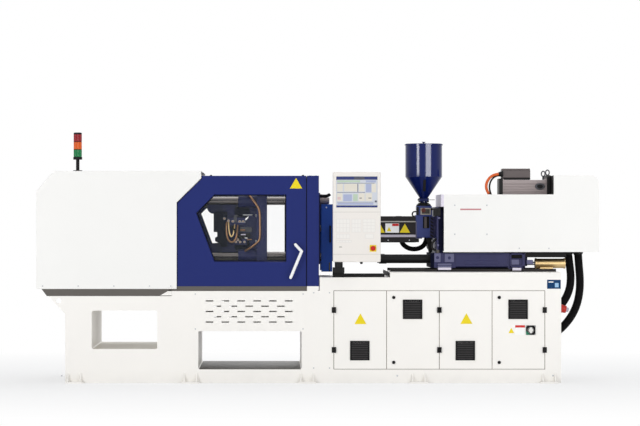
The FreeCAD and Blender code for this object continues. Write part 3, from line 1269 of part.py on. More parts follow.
def main():
    os.makedirs("parts", exist_ok=True)
    save("clamp_bed", clamp_bed())
    save("injection_bed", injection_bed())
    save("bed_feet", *feet())
    save("clamp_sill", clamp_sill())
    save("vent_panels", *both_sides(vent_panel()))
    save("side_panels", *side_panels())
    for number in range(door_count):
        save("cabinet_door_" + str(number + 1), cabinet_door(number))
        if not door_hangs_left(number):
            save("lower_lock_" + str(number + 1), door_lock(number, 0))
            save("upper_lock_" + str(number + 1), door_lock(number, 1))
    save("door_hinges", *door_hinges())
    save("main_switch_lever", switch_lever())
    save("clamp_cover", clamp_cover())
    save("stack_light_base", stack_light_base())
    save("stack_light_lenses", *stack_light_lenses())
    save("tie_bars", *tie_bars())
    save("tail_platen", tail_platen())
    save("fixed_platen", fixed_platen())
    save("moving_platen", moving_platen())
    save("ejector_plate", ejector_plate())
    for name, upper in (("upper", True), ("lower", False)):
        save("rear_link_" + name, rear_toggle_link(upper))
        save("front_link_" + name, front_toggle_link(upper))
        save("crosshead_link_" + name, crosshead_link(upper))
    save("crosshead", crosshead())
    save("clamp_screw", clamp_screw())
    front_gate, rear_gate = both_sides(gate())
    front_pane, rear_pane = both_sides(gate_pane())
    save("front_gate", front_gate)
    save("front_gate_window", front_pane)
    save("front_gate_handle", gate_handle())
    save("rear_gate", rear_gate)
    save("rear_gate_window", rear_pane)
    save("gate_posts", *both_sides(gate_post()))
    save("gate_tracks", *both_sides(gate_track()))
    save("panel_arm", panel_arm())
    save("control_panel", control_panel())
    save("panel_screen", panel_screen())
    save("emergency_stop", emergency_stop())
    save("purge_guard", purge_guard())
    save("barrel", barrel())
    save("barrel_cover", barrel_cover())
    save("feed_block", feed_block())
    save("plasticising_screw", plasticising_screw())
    save("injection_ram", injection_ram())
    save("hopper", hopper())
    save("hopper_slide", hopper_slide())
    save("hopper_lid", hopper_lid())
    save("injection_base", injection_base())
    save("slide_rails", *slide_rails())
    save("thrust_rods", *thrust_rods())
    save("carriage_drive", carriage_drive())
    save("injection_cover", injection_cover())
    save("injection_motor", injection_motor())
    save("carriage_cables", *carriage_cables())
    save("supply_hoses", *supply_hoses())


main()
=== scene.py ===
import json
import math

import bmesh
import bpy
from mathutils import Matrix, Vector

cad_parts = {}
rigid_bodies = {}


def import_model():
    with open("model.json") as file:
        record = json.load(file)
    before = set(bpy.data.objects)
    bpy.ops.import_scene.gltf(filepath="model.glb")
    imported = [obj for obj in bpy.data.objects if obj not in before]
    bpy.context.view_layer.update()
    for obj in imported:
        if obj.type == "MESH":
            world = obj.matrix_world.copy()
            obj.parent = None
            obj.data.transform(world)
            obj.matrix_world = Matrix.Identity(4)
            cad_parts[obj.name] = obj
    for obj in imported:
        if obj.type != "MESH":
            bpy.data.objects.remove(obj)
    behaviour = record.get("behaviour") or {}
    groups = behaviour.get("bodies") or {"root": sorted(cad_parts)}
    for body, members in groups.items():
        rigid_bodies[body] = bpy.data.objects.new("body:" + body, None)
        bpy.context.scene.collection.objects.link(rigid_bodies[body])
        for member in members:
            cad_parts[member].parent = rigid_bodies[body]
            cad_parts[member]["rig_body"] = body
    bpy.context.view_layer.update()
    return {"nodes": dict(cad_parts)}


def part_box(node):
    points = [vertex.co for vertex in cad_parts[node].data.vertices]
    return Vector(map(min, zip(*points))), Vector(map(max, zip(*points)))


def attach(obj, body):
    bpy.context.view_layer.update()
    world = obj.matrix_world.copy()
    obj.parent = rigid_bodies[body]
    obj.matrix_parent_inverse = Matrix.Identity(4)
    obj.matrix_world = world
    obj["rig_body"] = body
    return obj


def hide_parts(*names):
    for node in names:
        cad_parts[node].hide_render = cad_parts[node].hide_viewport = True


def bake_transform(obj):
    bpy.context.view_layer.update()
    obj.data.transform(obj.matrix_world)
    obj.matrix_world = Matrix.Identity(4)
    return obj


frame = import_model()
nodes = frame["nodes"]


# shader maths written as plain expressions
class Channel:
    def __init__(self, paint, socket):
        self.paint, self.socket = paint, socket

    def combine(self, operation, *values):
        return self.paint.node("ShaderNodeMath", {"operation": operation}, dict(enumerate(values)))

    def clamped(self):
        return self.paint.node("ShaderNodeClamp", {}, {"Value": self})


for method, operation in (("__add__", "ADD"), ("__sub__", "SUBTRACT"), ("__mul__", "MULTIPLY"),
                          ("__mod__", "FLOORED_MODULO"), ("__abs__", "ABSOLUTE")):
    setattr(Channel, method, lambda *values, kind=operation: values[0].combine(kind, *values))


class Paint:
    def __init__(self, name, owner=None):
        self.material = owner or bpy.data.materials.new(name)
        self.material.use_nodes = True
        self.tree = self.material.node_tree
        self.tree.nodes.clear()

    def node(self, kind, settings, inputs, output=0):
        made = self.tree.nodes.new(kind)
        for key, value in settings.items():
            if key == "stops":
                ramp = made.color_ramp
                while len(ramp.elements) < len(value):
                    ramp.elements.new(0.5)
                for stop, (at, tone) in zip(ramp.elements, value):
                    stop.position, stop.color = at, (tone, tone, tone, 1)
            else:
                setattr(made, key, value)
        for key, value in inputs.items():
            if isinstance(value, Channel):
                self.tree.links.new(value.socket, made.inputs[key])
            else:
                made.inputs[key].default_value = value
        return Channel(self, made.outputs[output]) if made.outputs else None

    def place(self):
        return self.node("ShaderNodeTexCoord", {}, {}, "Object")

    def axis(self, name):
        return self.node("ShaderNodeSeparateXYZ", {}, {0: self.place()}, name)

    def stretched(self, scale):
        return self.node("ShaderNodeVectorMath", {"operation": "MULTIPLY"}, {0: self.place(), 1: scale})

    def noise(self, scale, detail=3.0, rough=0.5, of=None):
        return self.node("ShaderNodeTexNoise", {}, {"Vector": of or self.place(), "Scale": scale,
                                                    "Detail": detail, "Roughness": rough})

    def ramp(self, value, *stops):
        return self.node("ShaderNodeValToRGB", {"stops": stops}, {"Fac": value})

    def tint(self, factor, first, second):
        first = first if isinstance(first, Channel) else (*first, 1)
        second = second if isinstance(second, Channel) else (*second, 1)
        return self.node("ShaderNodeMix", {"data_type": "RGBA"}, {0: factor, 6: first, 7: second}, 2)

    def bump(self, height, strength, distance, under=None):
        inputs = {"Height": height, "Strength": strength, "Distance": distance}
        if under:
            inputs["Normal"] = under
        return self.node("ShaderNodeBump", {}, inputs)

    def surface(self, inputs):
        shader = self.node("ShaderNodeBsdfPrincipled", {}, inputs)
        self.node("ShaderNodeOutputMaterial", {}, {"Surface": shader})
        return self.material


def shade(colour, share):
    return tuple(min(1.0, channel * share) for channel in colour)


def linear(*screenColour):  # from the 0 to 255 of a screen colour
    return tuple((c / 255 / 12.92) if c / 255 <= 0.04045 else ((c / 255 + 0.055) / 1.055) ** 2.4
                 for c in screenColour)


def powderCoat(name, colour, roughness=0.38, gloss=0.5, peel=0.1, dust=0.0):
    paint = Paint(name)
    mottle = paint.noise(2.4, 4.0, 0.55)
    grain = paint.noise(520.0, 2.0, 0.5)
    base = paint.tint(mottle * 0.5, colour, shade(colour, 0.93))
    if dust:
        low = paint.ramp(paint.axis("Z"), (0.0, 1.0), (0.12, 0.0))
        base = paint.tint(low * paint.noise(9.0, 5.0, 0.6) * dust, base, shade(colour, 0.62))
    return paint.surface({"Base Color": base, "Roughness": mottle * 0.1 + (roughness - 0.05) + grain * 0.04,
                          "Specular IOR Level": gloss, "Normal": paint.bump(grain, peel, 0.0006)})


def castPaint(name, colour, roughness=0.42, gloss=0.25):
    paint = Paint(name)
    sand = paint.noise(230.0, 5.0, 0.62)
    wave = paint.noise(26.0, 3.0, 0.5)
    stain = paint.ramp(paint.noise(5.5, 5.0, 0.6), (0.42, 0.0), (0.75, 1.0))
    base = paint.tint(stain * 0.35, colour, shade(colour, 0.72))
    first = paint.bump(wave, 0.35, 0.002)
    return paint.surface({"Base Color": base, "Roughness": sand * 0.16 + (roughness - 0.08),
                          "Specular IOR Level": gloss, "Normal": paint.bump(sand, 0.35, 0.0012, first)})


def groundMetal(name, colour, roughness, along, wear=0.25):
    paint = Paint(name)
    scale = tuple(8.0 if axis == along else 900.0 for axis in "XYZ")
    lines = paint.noise(1.0, 2.0, 0.5, paint.stretched(scale))
    blotch = paint.noise(7.0, 4.0, 0.55)
    base = paint.tint(lines * 0.5 + blotch * wear, colour, shade(colour, 0.62))
    return paint.surface({"Base Color": base, "Metallic": 1.0,
                          "Roughness": lines * 0.16 + blotch * 0.1 + (roughness - 0.12),
                          "Normal": paint.bump(lines, 0.12, 0.0004)})


def moulded(name, colour, roughness=0.5, gloss=0.3, grainScale=900.0, grain=0.18):
    paint = Paint(name)
    pores = paint.noise(grainScale, 2.0, 0.5)
    cloud = paint.noise(6.0, 3.0, 0.5)
    base = paint.tint(cloud * 0.35, colour, shade(colour, 0.84))
    return paint.surface({"Base Color": base, "Roughness": pores * 0.12 + (roughness - 0.06),
                          "Specular IOR Level": gloss, "Normal": paint.bump(pores, grain, 0.0004)})


def clearPane(name, colour):
    paint = Paint(name)
    haze = paint.noise(3.0, 4.0, 0.6)
    return paint.surface({"Base Color": (*colour, 1), "Roughness": haze * 0.03 + 0.01,
                          "Specular IOR Level": 0.2, "Alpha": haze * 0.02 + 0.01})


def lensPlastic(name, colour):
    paint = Paint(name)
    streak = paint.noise(1.0, 2.0, 0.5, paint.stretched((260.0, 260.0, 12.0)))
    base = paint.tint(streak * 0.5, colour, shade(colour, 0.6))
    # the faint emission, strength 0.03, is a painted glow standing in for light passing through the plastic; the
    # tower's lamps are off
    return paint.surface({"Base Color": base, "Roughness": streak * 0.1 + 0.18, "Specular IOR Level": 0.25,
                          "Emission Color": (*colour, 1), "Emission Strength": 0.03,
                          "Normal": paint.bump(streak, 0.08, 0.0004)})


def filterCloth(name, colour, pitch):  # woven threads in X and Z
    paint = Paint(name)
    across, up = abs(paint.axis("X") % pitch - pitch / 2), abs(paint.axis("Z") % pitch - pitch / 2)
    threads = (across * (2 / pitch) + up * (2 / pitch)).clamped()
    base = paint.tint(threads, shade(colour, 0.35), colour)
    return paint.surface({"Base Color": base, "Roughness": threads * -0.2 + 0.8,
                          "Normal": paint.bump(threads, 0.5, 0.0006)})


def screenField(name, colour):
    paint = Paint(name)
    wave = paint.noise(40.0, 3.0, 0.5)
    base = paint.tint(wave * 0.3, colour, shade(colour, 0.86))
    return paint.surface({"Base Color": base, "Roughness": wave * 0.06 + 0.2,
                          "Emission Color": (*colour, 1), "Emission Strength": 0.1})


def printed(name, colour, roughness=0.35, gloss=0.3):  # ink or film with a faint mottle
    paint = Paint(name)
    mottle = paint.noise(90.0, 4.0, 0.6)
    base = paint.tint(mottle * 0.4, colour, shade(colour, 0.9))
    return paint.surface({"Base Color": base, "Roughness": mottle * 0.12 + (roughness - 0.06),
                          "Specular IOR Level": gloss, "Normal": paint.bump(mottle, 0.04, 0.0003)})


# screen colours with what else each maker takes
paints = (
    (lensPlastic, {
        "lensGreen": (8, 122, 66), "lensAmber": (222, 94, 16), "lensRed": (148, 16, 28)}),
    (moulded, {
        "seamBrown": (112, 100, 88, 0.7), "seamGrey": (176, 173, 166, 0.6),
        "rubberBlack": (14, 13, 14, 0.72, 0.15, 500.0, 0.25), "knobBrown": (104, 44, 30, 0.4),
        "switchGreen": (18, 116, 84, 0.4), "connectorRed": (196, 44, 30, 0.38),
        "mattBlack": (16, 14, 16, 0.62, 0.2), "leverWhite": (236, 235, 230, 0.3),
        "handleWhite": (250, 250, 248, 0.28), "stopRed": (196, 26, 24, 0.28),
        "signYellow": (238, 214, 22, 0.42, 0.3, 300.0, 0.05), "hoseRubber": (12, 10, 12, 0.68, 0.12, 700.0, 0.3),
        "cableOrange": (216, 98, 42, 0.45)}),
    (powderCoat, {
        "trayGrey": (80, 76, 70, 0.5, 0.3), "plateLavender": (224, 218, 232, 0.42),
        "magnetBeige": (192, 184, 168, 0.4), "trayPale": (236, 232, 222, 0.45, 0.3),
        "junctionGrey": (96, 87, 86, 0.42, 0.3), "bedWhite": (247, 244, 238, 0.42, 0.5, 0.1, 0.35),
        "coverWhite": (244, 243, 239, 0.36), "panelWhite": (235, 230, 223, 0.4),
        "sillGrey": (96, 92, 87, 0.5, 0.25), "gateNavy": (30, 42, 106, 0.34, 0.16),
        "guardBlue": (44, 84, 176, 0.36, 0.16), "hopperNavy": (16, 30, 92, 0.09, 0.2, 0.02),
        "motorGrey": (162, 150, 149, 0.42, 0.3), "satinBlack": (14, 14, 15, 0.46, 0.2),
        "heaterSheet": (30, 27, 29, 0.5, 0.2), "bandGrey": (190, 184, 196, 0.42)}),
    (screenField, {
        "screenNavy": (34, 46, 104), "screenCream": (214, 209, 196), "screenPale": (196, 200, 208),
        "screenBlue": (160, 168, 196), "screenGreen": (176, 194, 172), "screenRose": (208, 182, 180),
        "screenInk": (70, 72, 86)}),
    (printed, {
        "keyWhite": (238, 235, 229), "keyGrey": (226, 222, 217), "plateBlue": (4, 56, 100, 0.3, 0.1),
        "platePale": (150, 190, 224, 0.3), "signWhite": (250, 250, 247), "stripRed": (206, 36, 34),
        "fadedRed": (196, 128, 132)}),
    (castPaint, {
        "frontNavy": (10, 13, 34, 0.75, 0.06), "blockLilac": (100, 100, 132, 0.45), "platenNavy": (17, 23, 72),
        "baseNavy": (44, 44, 84), "feedBlue": (58, 72, 140, 0.35), "linkIron": (74, 74, 80, 0.38)}),
)
finishes = {}
for make, table in paints:
    for name, (red, green, blue, *values) in table.items():
        finishes[name] = make(name, linear(red, green, blue), *values)
for make, name, *values in (
        (filterCloth, "filterMesh", linear(52, 50, 50), 0.0024),
        (groundMetal, "copperPipe", linear(168, 128, 98), 0.4, "Z", 0.6),
        (groundMetal, "groundSteel", (0.62, 0.63, 0.65), 0.34, "Y"),
        # the tie bars' chrome is painted dark, standing in for the dark enclosure that it reflects
        (groundMetal, "tieBarChrome", (0.16, 0.145, 0.14), 0.24, "X", 0.2),
        (groundMetal, "railSteel", (0.03, 0.028, 0.028), 0.4, "X"),
        (groundMetal, "barrelSteel", (0.42, 0.4, 0.38), 0.4, "X", 0.5),
        (groundMetal, "brassDrum", linear(235, 205, 150), 0.45, "X", 0.35),
        (clearPane, "paneClear", (0.5, 0.55, 0.55))):
    finishes[name] = make(name, *values)


def addObject(name, mesh):
    piece = bpy.data.objects.new(name, mesh)
    bpy.context.scene.collection.objects.link(piece)
    return piece


def evenShading(piece, angle):
    mesh = piece.data
    mesh.shade_smooth()
    mesh.set_sharp_from_angle(angle=math.radians(angle))
    weigh = piece.modifiers.new("weigh", "WEIGHTED_NORMAL")
    weigh.keep_sharp = True
    weigh.weight = 80
    done = bpy.data.meshes.new_from_object(piece.evaluated_get(bpy.context.evaluated_depsgraph_get()))
    piece.modifiers.clear()
    piece.data = done


# a node's mesh with its edges broken, cut along the boxes of its patches
def brokenEdges(nodeName, width, held, patches, sharpest, steps):
    shell = bmesh.new()
    shell.from_mesh(nodes[nodeName].data)
    bmesh.ops.remove_doubles(shell, verts=shell.verts[:], dist=2e-5)
    bmesh.ops.dissolve_limit(shell, angle_limit=math.radians(0.4), verts=shell.verts[:], edges=shell.edges[:])
    for _, low, high in patches:
        for corner in (low, high):
            for axis in Matrix.Identity(3):
                bmesh.ops.bisect_plane(shell, geom=shell.verts[:] + shell.edges[:] + shell.faces[:], dist=1e-5,
                                       plane_co=corner, plane_no=axis)
    edges = [edge for edge in shell.edges if len(edge.link_faces) == 2
             and edge.calc_face_angle(0) > math.radians(sharpest) and edge.calc_length() > 1.2 * width]
    if width:
        bmesh.ops.bevel(shell, geom=edges, offset=width, segments=steps, profile=0.55, affect="EDGES",
                        clamp_overlap=held, material=-1)
    bottom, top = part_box(nodeName)
    for vertex in shell.verts:  # the broken edges stay within the node's own box
        vertex.co = [min(max(at, least), most) for at, least, most in zip(vertex.co, bottom, top)]
    mesh = bpy.data.meshes.new(nodeName + "Skin")
    shell.to_mesh(mesh)
    shell.free()
    return mesh


def foldedArea(mesh):  # how much of a mesh its own faces cover twice
    mesh.calc_loop_triangles()
    return sum(part.area for part in mesh.loop_triangles) - sum(face.area for face in mesh.polygons)


foldLimit = 2e-4  # square metres


# the CAD form with its edges broken as wide as they can be; a patch is a finish and the box of its faces
def softened(nodeName, width, finishName, patches=(), sharpest=28.0, steps=2):
    for share, held in ((1.0, False), (1.0, True), (0.4, False), (0.0, False)):
        mesh = brokenEdges(nodeName, width * share, held, patches, sharpest, steps)
        if foldedArea(mesh) < foldLimit:
            break
    mesh.materials.clear()
    mesh.materials.append(finishes[finishName])
    for number, (patchFinish, low, high) in enumerate(patches):
        mesh.materials.append(finishes[patchFinish])
        for face in mesh.polygons:
            if all(a < at < b for a, at, b in zip(low, face.center, high)):
                face.material_index = number + 1
    print("edges broken", nodeName, share, held, round(foldedArea(mesh) * 1e6))
    piece = addObject(nodeName + "Skin", mesh)
    evenShading(piece, 44)
    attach(piece, nodes[nodeName]["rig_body"])
    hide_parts(nodeName)
    return piece


class Shape:  # gathers plain forms in several finishes into one piece
    def __init__(self, name):
        self.name, self.form, self.used = name, bmesh.new(), []

    def take(self, part, finishName, softEdge=0.0, steps=2):
        if softEdge:
            bmesh.ops.recalc_face_normals(part, faces=part.faces[:])
            edges = [edge for edge in part.edges if edge.calc_face_angle(0) > 0.6]
            bmesh.ops.bevel(part, geom=edges, offset=softEdge, segments=steps, profile=0.5, affect="EDGES")
        if finishName not in self.used:
            self.used.append(finishName)
        for face in part.faces:
            face.material_index = self.used.index(finishName)
        passing = bpy.data.meshes.new("passing")
        part.to_mesh(passing)
        part.free()
        self.form.from_mesh(passing)
        bpy.data.meshes.remove(passing)
        return self

    def block(self, finishName, low, high, softEdge=0.0012, steps=2):
        part = bmesh.new()
        size = [abs(b - a) for a, b in zip(low, high)]
        middle = [(a + b) / 2 for a, b in zip(low, high)]
        bmesh.ops.create_cube(part, size=1.0, matrix=Matrix.Translation(middle) @ Matrix.Diagonal((*size, 1.0)))
        return self.take(part, finishName, min(softEdge, min(size) * 0.45), steps)

    def lathe(self, finishName, start, direction, outline, sides=32, softEdge=0.0):  # outline of (along, radius)
        part = bmesh.new()
        turn = Vector(direction).to_track_quat("Z", "Y").to_matrix()
        rings = []
        for along, radius in outline:
            count = sides if radius > 1e-6 else 1
            rings.append([part.verts.new(Vector(start) + turn @ Vector((
                radius * math.cos(math.tau * step / sides), radius * math.sin(math.tau * step / sides), along)))
                for step in range(count)])
        for first, second in zip(rings, rings[1:]):
            for step in range(sides):
                near, far = step, (step + 1) % sides
                corners = [first[near % len(first)], first[far % len(first)],
                           second[far % len(second)], second[near % len(second)]]
                part.faces.new(list(dict.fromkeys(corners)))
        bmesh.ops.recalc_face_normals(part, faces=part.faces[:])
        return self.take(part, finishName, softEdge)

    def rod(self, finishName, start, end, radius, softEdge=0.0012, sides=28):
        length = (Vector(end) - Vector(start)).length
        soft = min(softEdge, length * 0.4, radius * 0.4)
        outline = [(0, 0), (0, radius - soft), (soft, radius), (length - soft, radius), (length, radius - soft),
                   (length, 0)]
        return self.lathe(finishName, start, Vector(end) - Vector(start), outline, sides)

    def slab(self, finishName, outline, low, high, axis="Y", softEdge=0.0012, steps=2):
        part = bmesh.new()
        order = {"X": lambda a, b, c: (c, a, b), "Y": lambda a, b, c: (a, c, b), "Z": lambda a, b, c: (a, b, c)}
        near = [part.verts.new(order[axis](a, b, low)) for a, b in outline]
        far = [part.verts.new(order[axis](a, b, high)) for a, b in outline]
        part.faces.new(near)
        part.faces.new(far[::-1])
        for step in range(len(near)):
            after = (step + 1) % len(near)
            part.faces.new([near[after], near[step], far[step], far[after]])
        bmesh.ops.recalc_face_normals(part, faces=part.faces[:])
        return self.take(part, finishName, softEdge, steps)

    def along(self, finishName, line, radii, sides=20):  # a tube on a line of points, one radius for each
        part = bmesh.new()
        forward = [(b - a).normalized() for a, b in zip(line, line[1:])]
        forward = [forward[0]] + [(a + b).normalized() for a, b in zip(forward, forward[1:])] + [forward[-1]]
        side = forward[0].orthogonal().normalized()
        rings = []
        for point, ahead, radius in zip(line, forward, radii):
            side = (side - ahead * side.dot(ahead)).normalized()
            other = ahead.cross(side)
            rings.append([part.verts.new(point + (side * math.cos(turn) + other * math.sin(turn)) * radius)
                          for turn in (math.tau * step / sides for step in range(sides))])
        for first, second in zip(rings, rings[1:]):
            for step in range(sides):
                after = (step + 1) % sides
                part.faces.new([first[step], first[after], second[after], second[step]])
        part.faces.new(rings[0][::-1])
        part.faces.new(rings[-1])
        return self.take(part, finishName)

    def pipe(self, finishName, points, radius, sides=14):
        line = routeLine(points)
        return self.along(finishName, line, [radius] * len(line), sides)

    def screw(self, finishName, at, direction, radius=0.006, rise=0.003):  # button head with a socket
        outline = [(-0.001, 0), (-0.001, radius), (rise * 0.35, radius), (rise * 0.8, radius * 0.78),
                   (rise, radius * 0.5), (rise * 0.45, radius * 0.42), (rise * 0.45, 0)]
        return self.lathe(finishName, at, direction, outline, 20)

    def both(self, kind, finishName, *values):  # the same form on each side; points are given for one of them
        for side in (-1, 1):
            getattr(self, kind)(finishName, *[
                (value[0], side * value[1], value[2]) if isinstance(value, tuple) else
                [(x, side * y, z) for x, y, z in value] if isinstance(value, list) else value for value in values])

    def done(self, body, slotName, *replaced, angle=38):
        mesh = bpy.data.meshes.new(self.name)
        self.form.to_mesh(mesh)
        self.form.free()
        for finishName in self.used:
            mesh.materials.append(finishes[finishName])
        piece = addObject(self.name, mesh)
        evenShading(piece, angle)
        if body:
            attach(piece, body)
        if replaced:
            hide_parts(*replaced)
        return piece


def routeLine(points, divisions=12):  # points on the smooth line that a route gives
    curve = bpy.data.curves.new("route", "CURVE")
    curve.dimensions, curve.resolution_u = "3D", divisions
    spline = curve.splines.new("NURBS")
    spline.points.add(len(points) - 1)
    for control, point in zip(spline.points, points):
        control.co = (*point, 1)
    spline.order_u, spline.use_endpoint_u = 3, True
    carrier = bpy.data.objects.new("route", curve)
    mesh = bpy.data.meshes.new_from_object(carrier)
    line = [vertex.co.copy() for vertex in mesh.vertices]
    for data in (carrier, curve):
        bpy.data.batch_remove([data])
    bpy.data.meshes.remove(mesh)
    return line


def evenly(line, pitch):  # the same line with points a pitch apart
    lengths = [0.0]
    for a, b in zip(line, line[1:]):
        lengths.append(lengths[-1] + (b - a).length)
    count = max(2, round(lengths[-1] / pitch))
    spaced, step = [], 0
    for number in range(count + 1):
        reach = lengths[-1] * number / count
        while step < len(line) - 2 and lengths[step + 1] < reach:
            step += 1
        share = (reach - lengths[step]) / (lengths[step + 1] - lengths[step])
        spaced.append(line[step].lerp(line[step + 1], share))
    return spaced, lengths[-1]


# the view
viewFrom = {"place": (-0.381, -20.075, 1.304), "focalPixels": 2440.0, "centrePixel": (272.0, 220.0),
            "pixels": (640.0, 426.0), "sensor": 36.0, "reach": 200.0}
(wide, tall), (x, y) = viewFrom["pixels"], viewFrom["centrePixel"]
lens = bpy.data.cameras.new("view")
lens.sensor_width, lens.clip_end = viewFrom["sensor"], viewFrom["reach"]
lens.lens = viewFrom["focalPixels"] * viewFrom["sensor"] / wide
lens.shift_x, lens.shift_y = (wide / 2 - x) / wide, (y - tall / 2) / wide
camera = addObject("view", lens)
camera.location = viewFrom["place"]
camera.rotation_euler = (math.radians(90), 0, 0)
bpy.context.scene.camera = camera


# hoses and cables: node, slot, finish, stiffness, diameter, rib pitch, Y, and the route's points in X and Z
cords = {
    "supplyHoseInner": ("supply_hoses", "hose_rubber", "hoseRubber", "stiff", 0.066, 0.0085, -0.06, (
        (2.046, 1.045), (2.058, 0.95), (2.071, 0.85), (2.064, 0.75), (2.032, 0.665), (1.985, 0.6), (1.915, 0.548))),
    "supplyHoseOuter": ("supply_hoses", "hose_rubber", "hoseRubber", "stiff", 0.066, 0.0085, -0.06, (
        (2.128, 1.045), (2.135, 0.94), (2.145, 0.835), (2.144, 0.725), (2.123, 0.615), (2.08, 0.52), (2.018, 0.44),
        (1.96, 0.388), (1.9, 0.352))),
    "motorCable": ("carriage_cables", "cable_sheath", "cableOrange", "stiff", 0.023, 0.0, -0.062, (
        (1.505, 1.685), (1.457, 1.681), (1.413, 1.661), (1.384, 1.625), (1.373, 1.58), (1.384, 1.538),
        (1.41, 1.498))),
    "signalCable": ("carriage_cables", "hose_rubber", "mattBlack", "medium", 0.014, 0.0, -0.034, (
        (1.505, 1.672), (1.468, 1.669), (1.436, 1.652), (1.413, 1.62), (1.404, 1.582), (1.408, 1.544),
        (1.42, 1.5))),
    "coolingHose": ("carriage_cables", "hose_rubber", "hoseRubber", "stiff", 0.04, 0.006, 0.0, (
        (0.674, 1.1775), (0.68, 1.13), (0.708, 1.09), (0.755, 1.066), (0.808, 1.064), (0.856, 1.082),
        (0.884, 1.118), (0.891, 1.158))),
}
for name, (nodeName, slotName, finishName, stiffness, diameter, rib, y, route) in cords.items():
    points = [(x, y, z) for x, z in route]
    line, lineLength = evenly(routeLine(points), rib / 4 if rib else 0.006)
    radius, dip = diameter / 2, rib * 0.24
    profile = (0.0, 0.0, 0.55, 1.0) if rib else (0.0,)
    radii = [radius - dip * profile[step % len(profile)] for step in range(len(line))]
    crosses = nodeName == "supply_hoses"
    hose = Shape(name).along(finishName, line, radii, 26 if rib else 20)
    piece = hose.done(None if crosses else "carriage", slotName, nodeName, angle=60)
    if crosses:
        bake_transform(piece)
    print(name, round(lineLength, 3), "m")

plainNodes = {
    "bedWhite": "bed_feet vent_panels side_panels clamp_bed injection_bed cabinet_door_1 cabinet_door_2 "
                "cabinet_door_3 cabinet_door_4",
    "satinBlack": "door_hinges panel_arm thrust_rods",
    "mattBlack": "lower_lock_2 upper_lock_2 lower_lock_4 upper_lock_4 stack_light_base panel_screen",
    "leverWhite": "main_switch_lever",
    "stopRed": "stack_light_lenses emergency_stop",
    "tieBarChrome": "tie_bars",
    "platenNavy": "tail_platen fixed_platen moving_platen",
    "groundSteel": "ejector_plate clamp_screw plasticising_screw",
    "linkIron": "rear_link_upper rear_link_lower front_link_upper front_link_lower crosshead_link_upper "
                "crosshead_link_lower crosshead",
    "paneClear": "front_gate_window rear_gate_window",
    "handleWhite": "front_gate_handle",
    "sillGrey": "gate_tracks clamp_sill",
    "guardBlue": "purge_guard",
    "barrelSteel": "barrel",
    "heaterSheet": "barrel_cover",
    "feedBlue": "feed_block",
    "baseNavy": "injection_ram injection_base",
    "hopperNavy": "hopper hopper_lid",
    "railSteel": "hopper_slide slide_rails",
    "brassDrum": "carriage_drive",
    "motorGrey": "injection_motor",
    "cableOrange": "carriage_cables",
    "hoseRubber": "supply_hoses",
    "coverWhite": "clamp_cover injection_cover",
    "gateNavy": "front_gate rear_gate gate_posts",
    "panelWhite": "control_panel",
}
for finishName, names in plainNodes.items():
    for nodeName in names.split():
        nodes[nodeName].data.materials.clear()
        nodes[nodeName].data.materials.append(finishes[finishName])
print("finishes on", len(nodes), "nodes")


# soft edges on the big housings: width in metres and the finish
housings = {
    "clamp_bed": (0.003, "bedWhite"), "injection_bed": (0.003, "bedWhite"), "clamp_sill": (0.002, "sillGrey"),
    "clamp_cover": (0.004, "coverWhite"), "front_gate": (0.0025, "gateNavy"), "rear_gate": (0.0025, "gateNavy"),
    "gate_posts": (0.0025, "gateNavy", (("bedWhite", (-0.2, -1, 0.7), (0.1, 1, 0.7745)),)),
    # the lavender-grey patch on the injection cover's left end plate paints the shade on that white sheet
    "injection_cover": (0.004, "coverWhite", (("plateLavender", (0.9, -1, 1.4), (1.0096, 1, 1.6)),
                                              ("mattBlack", (1.895, -0.3, 1.3), (1.905, 0.3, 1.665)))),
    # the dark navy patches on the casting's front plate are its darker paint with painted shade added
    "injection_base": (0.004, "baseNavy", (("frontNavy", (0.968, -1, 1.038), (1.012, 1, 1.42)),
                                           ("frontNavy", (0.9, -1, 0.915), (0.9335, 1, 1.037)))),
}
for number, x in enumerate((0.113, 0.9562, 0.9562, 1.7994), 1):  # black knuckles on the hinge side of each door
    housings["cabinet_door_" + str(number)] = (0.0012, "bedWhite", tuple(
        ("mattBlack", (x - 0.03, -0.62, z - 0.028), (x + 0.03, -0.5762, z + 0.028)) for z in (0.267, 0.584)))
for nodeName, making in housings.items():
    softened(nodeName, *making)
print("softened", len(housings), "housings")

# signal tower: fluted lenses, green at the bottom
stackLight = {"centre": (-1.945, -0.43), "radius": 0.033, "flutes": 36, "bottom": 1.811, "height": 0.062,
              "finishes": ("lensGreen", "lensAmber", "lensRed")}
lenses = Shape("signalTowerLenses")
for number, finishName in enumerate(stackLight["finishes"]):
    low = stackLight["bottom"] + number * stackLight["height"]
    high = low + stackLight["height"]
    (x, y), fluted = stackLight["centre"], []
    for step in range(2 * stackLight["flutes"]):
        turn = math.tau * step / (2 * stackLight["flutes"])
        reach = stackLight["radius"] - (0.0014 if step % 2 else 0.0002)
        fluted.append((x + reach * math.cos(turn), y + reach * math.sin(turn)))
    lenses.slab(finishName, fluted, low + 0.005, high - 0.004, "Z", 0.0)
    for level, finish in ((low + 0.0004, finishName), (high - 0.0046, "mattBlack")):
        lenses.rod(finish, (x, y, level), (x, y, level + 0.0048), 0.0329, 0.001, 48)
lenses.done("bed", "lens", "stack_light_lenses")

# clamp cover: the screws of its lower edge and of its end
clampTrim = {"screwZ": 0.776, "screwXs": (-2.215, -1.93, -1.645, -1.36, -1.19), "radius": 0.0058}
trim = Shape("clampCoverScrews")
for x in clampTrim["screwXs"]:
    trim.both("screw", "groundSteel", (x, 0.575, clampTrim["screwZ"]), (0, 1, 0), clampTrim["radius"])
for y in (-0.42, 0.42):
    for z in (0.8, 1.5):
        trim.screw("groundSteel", (-2.2655, y, z), (-1, 0, 0), clampTrim["radius"], 0.0004)
trim.done("bed", "cover_white")

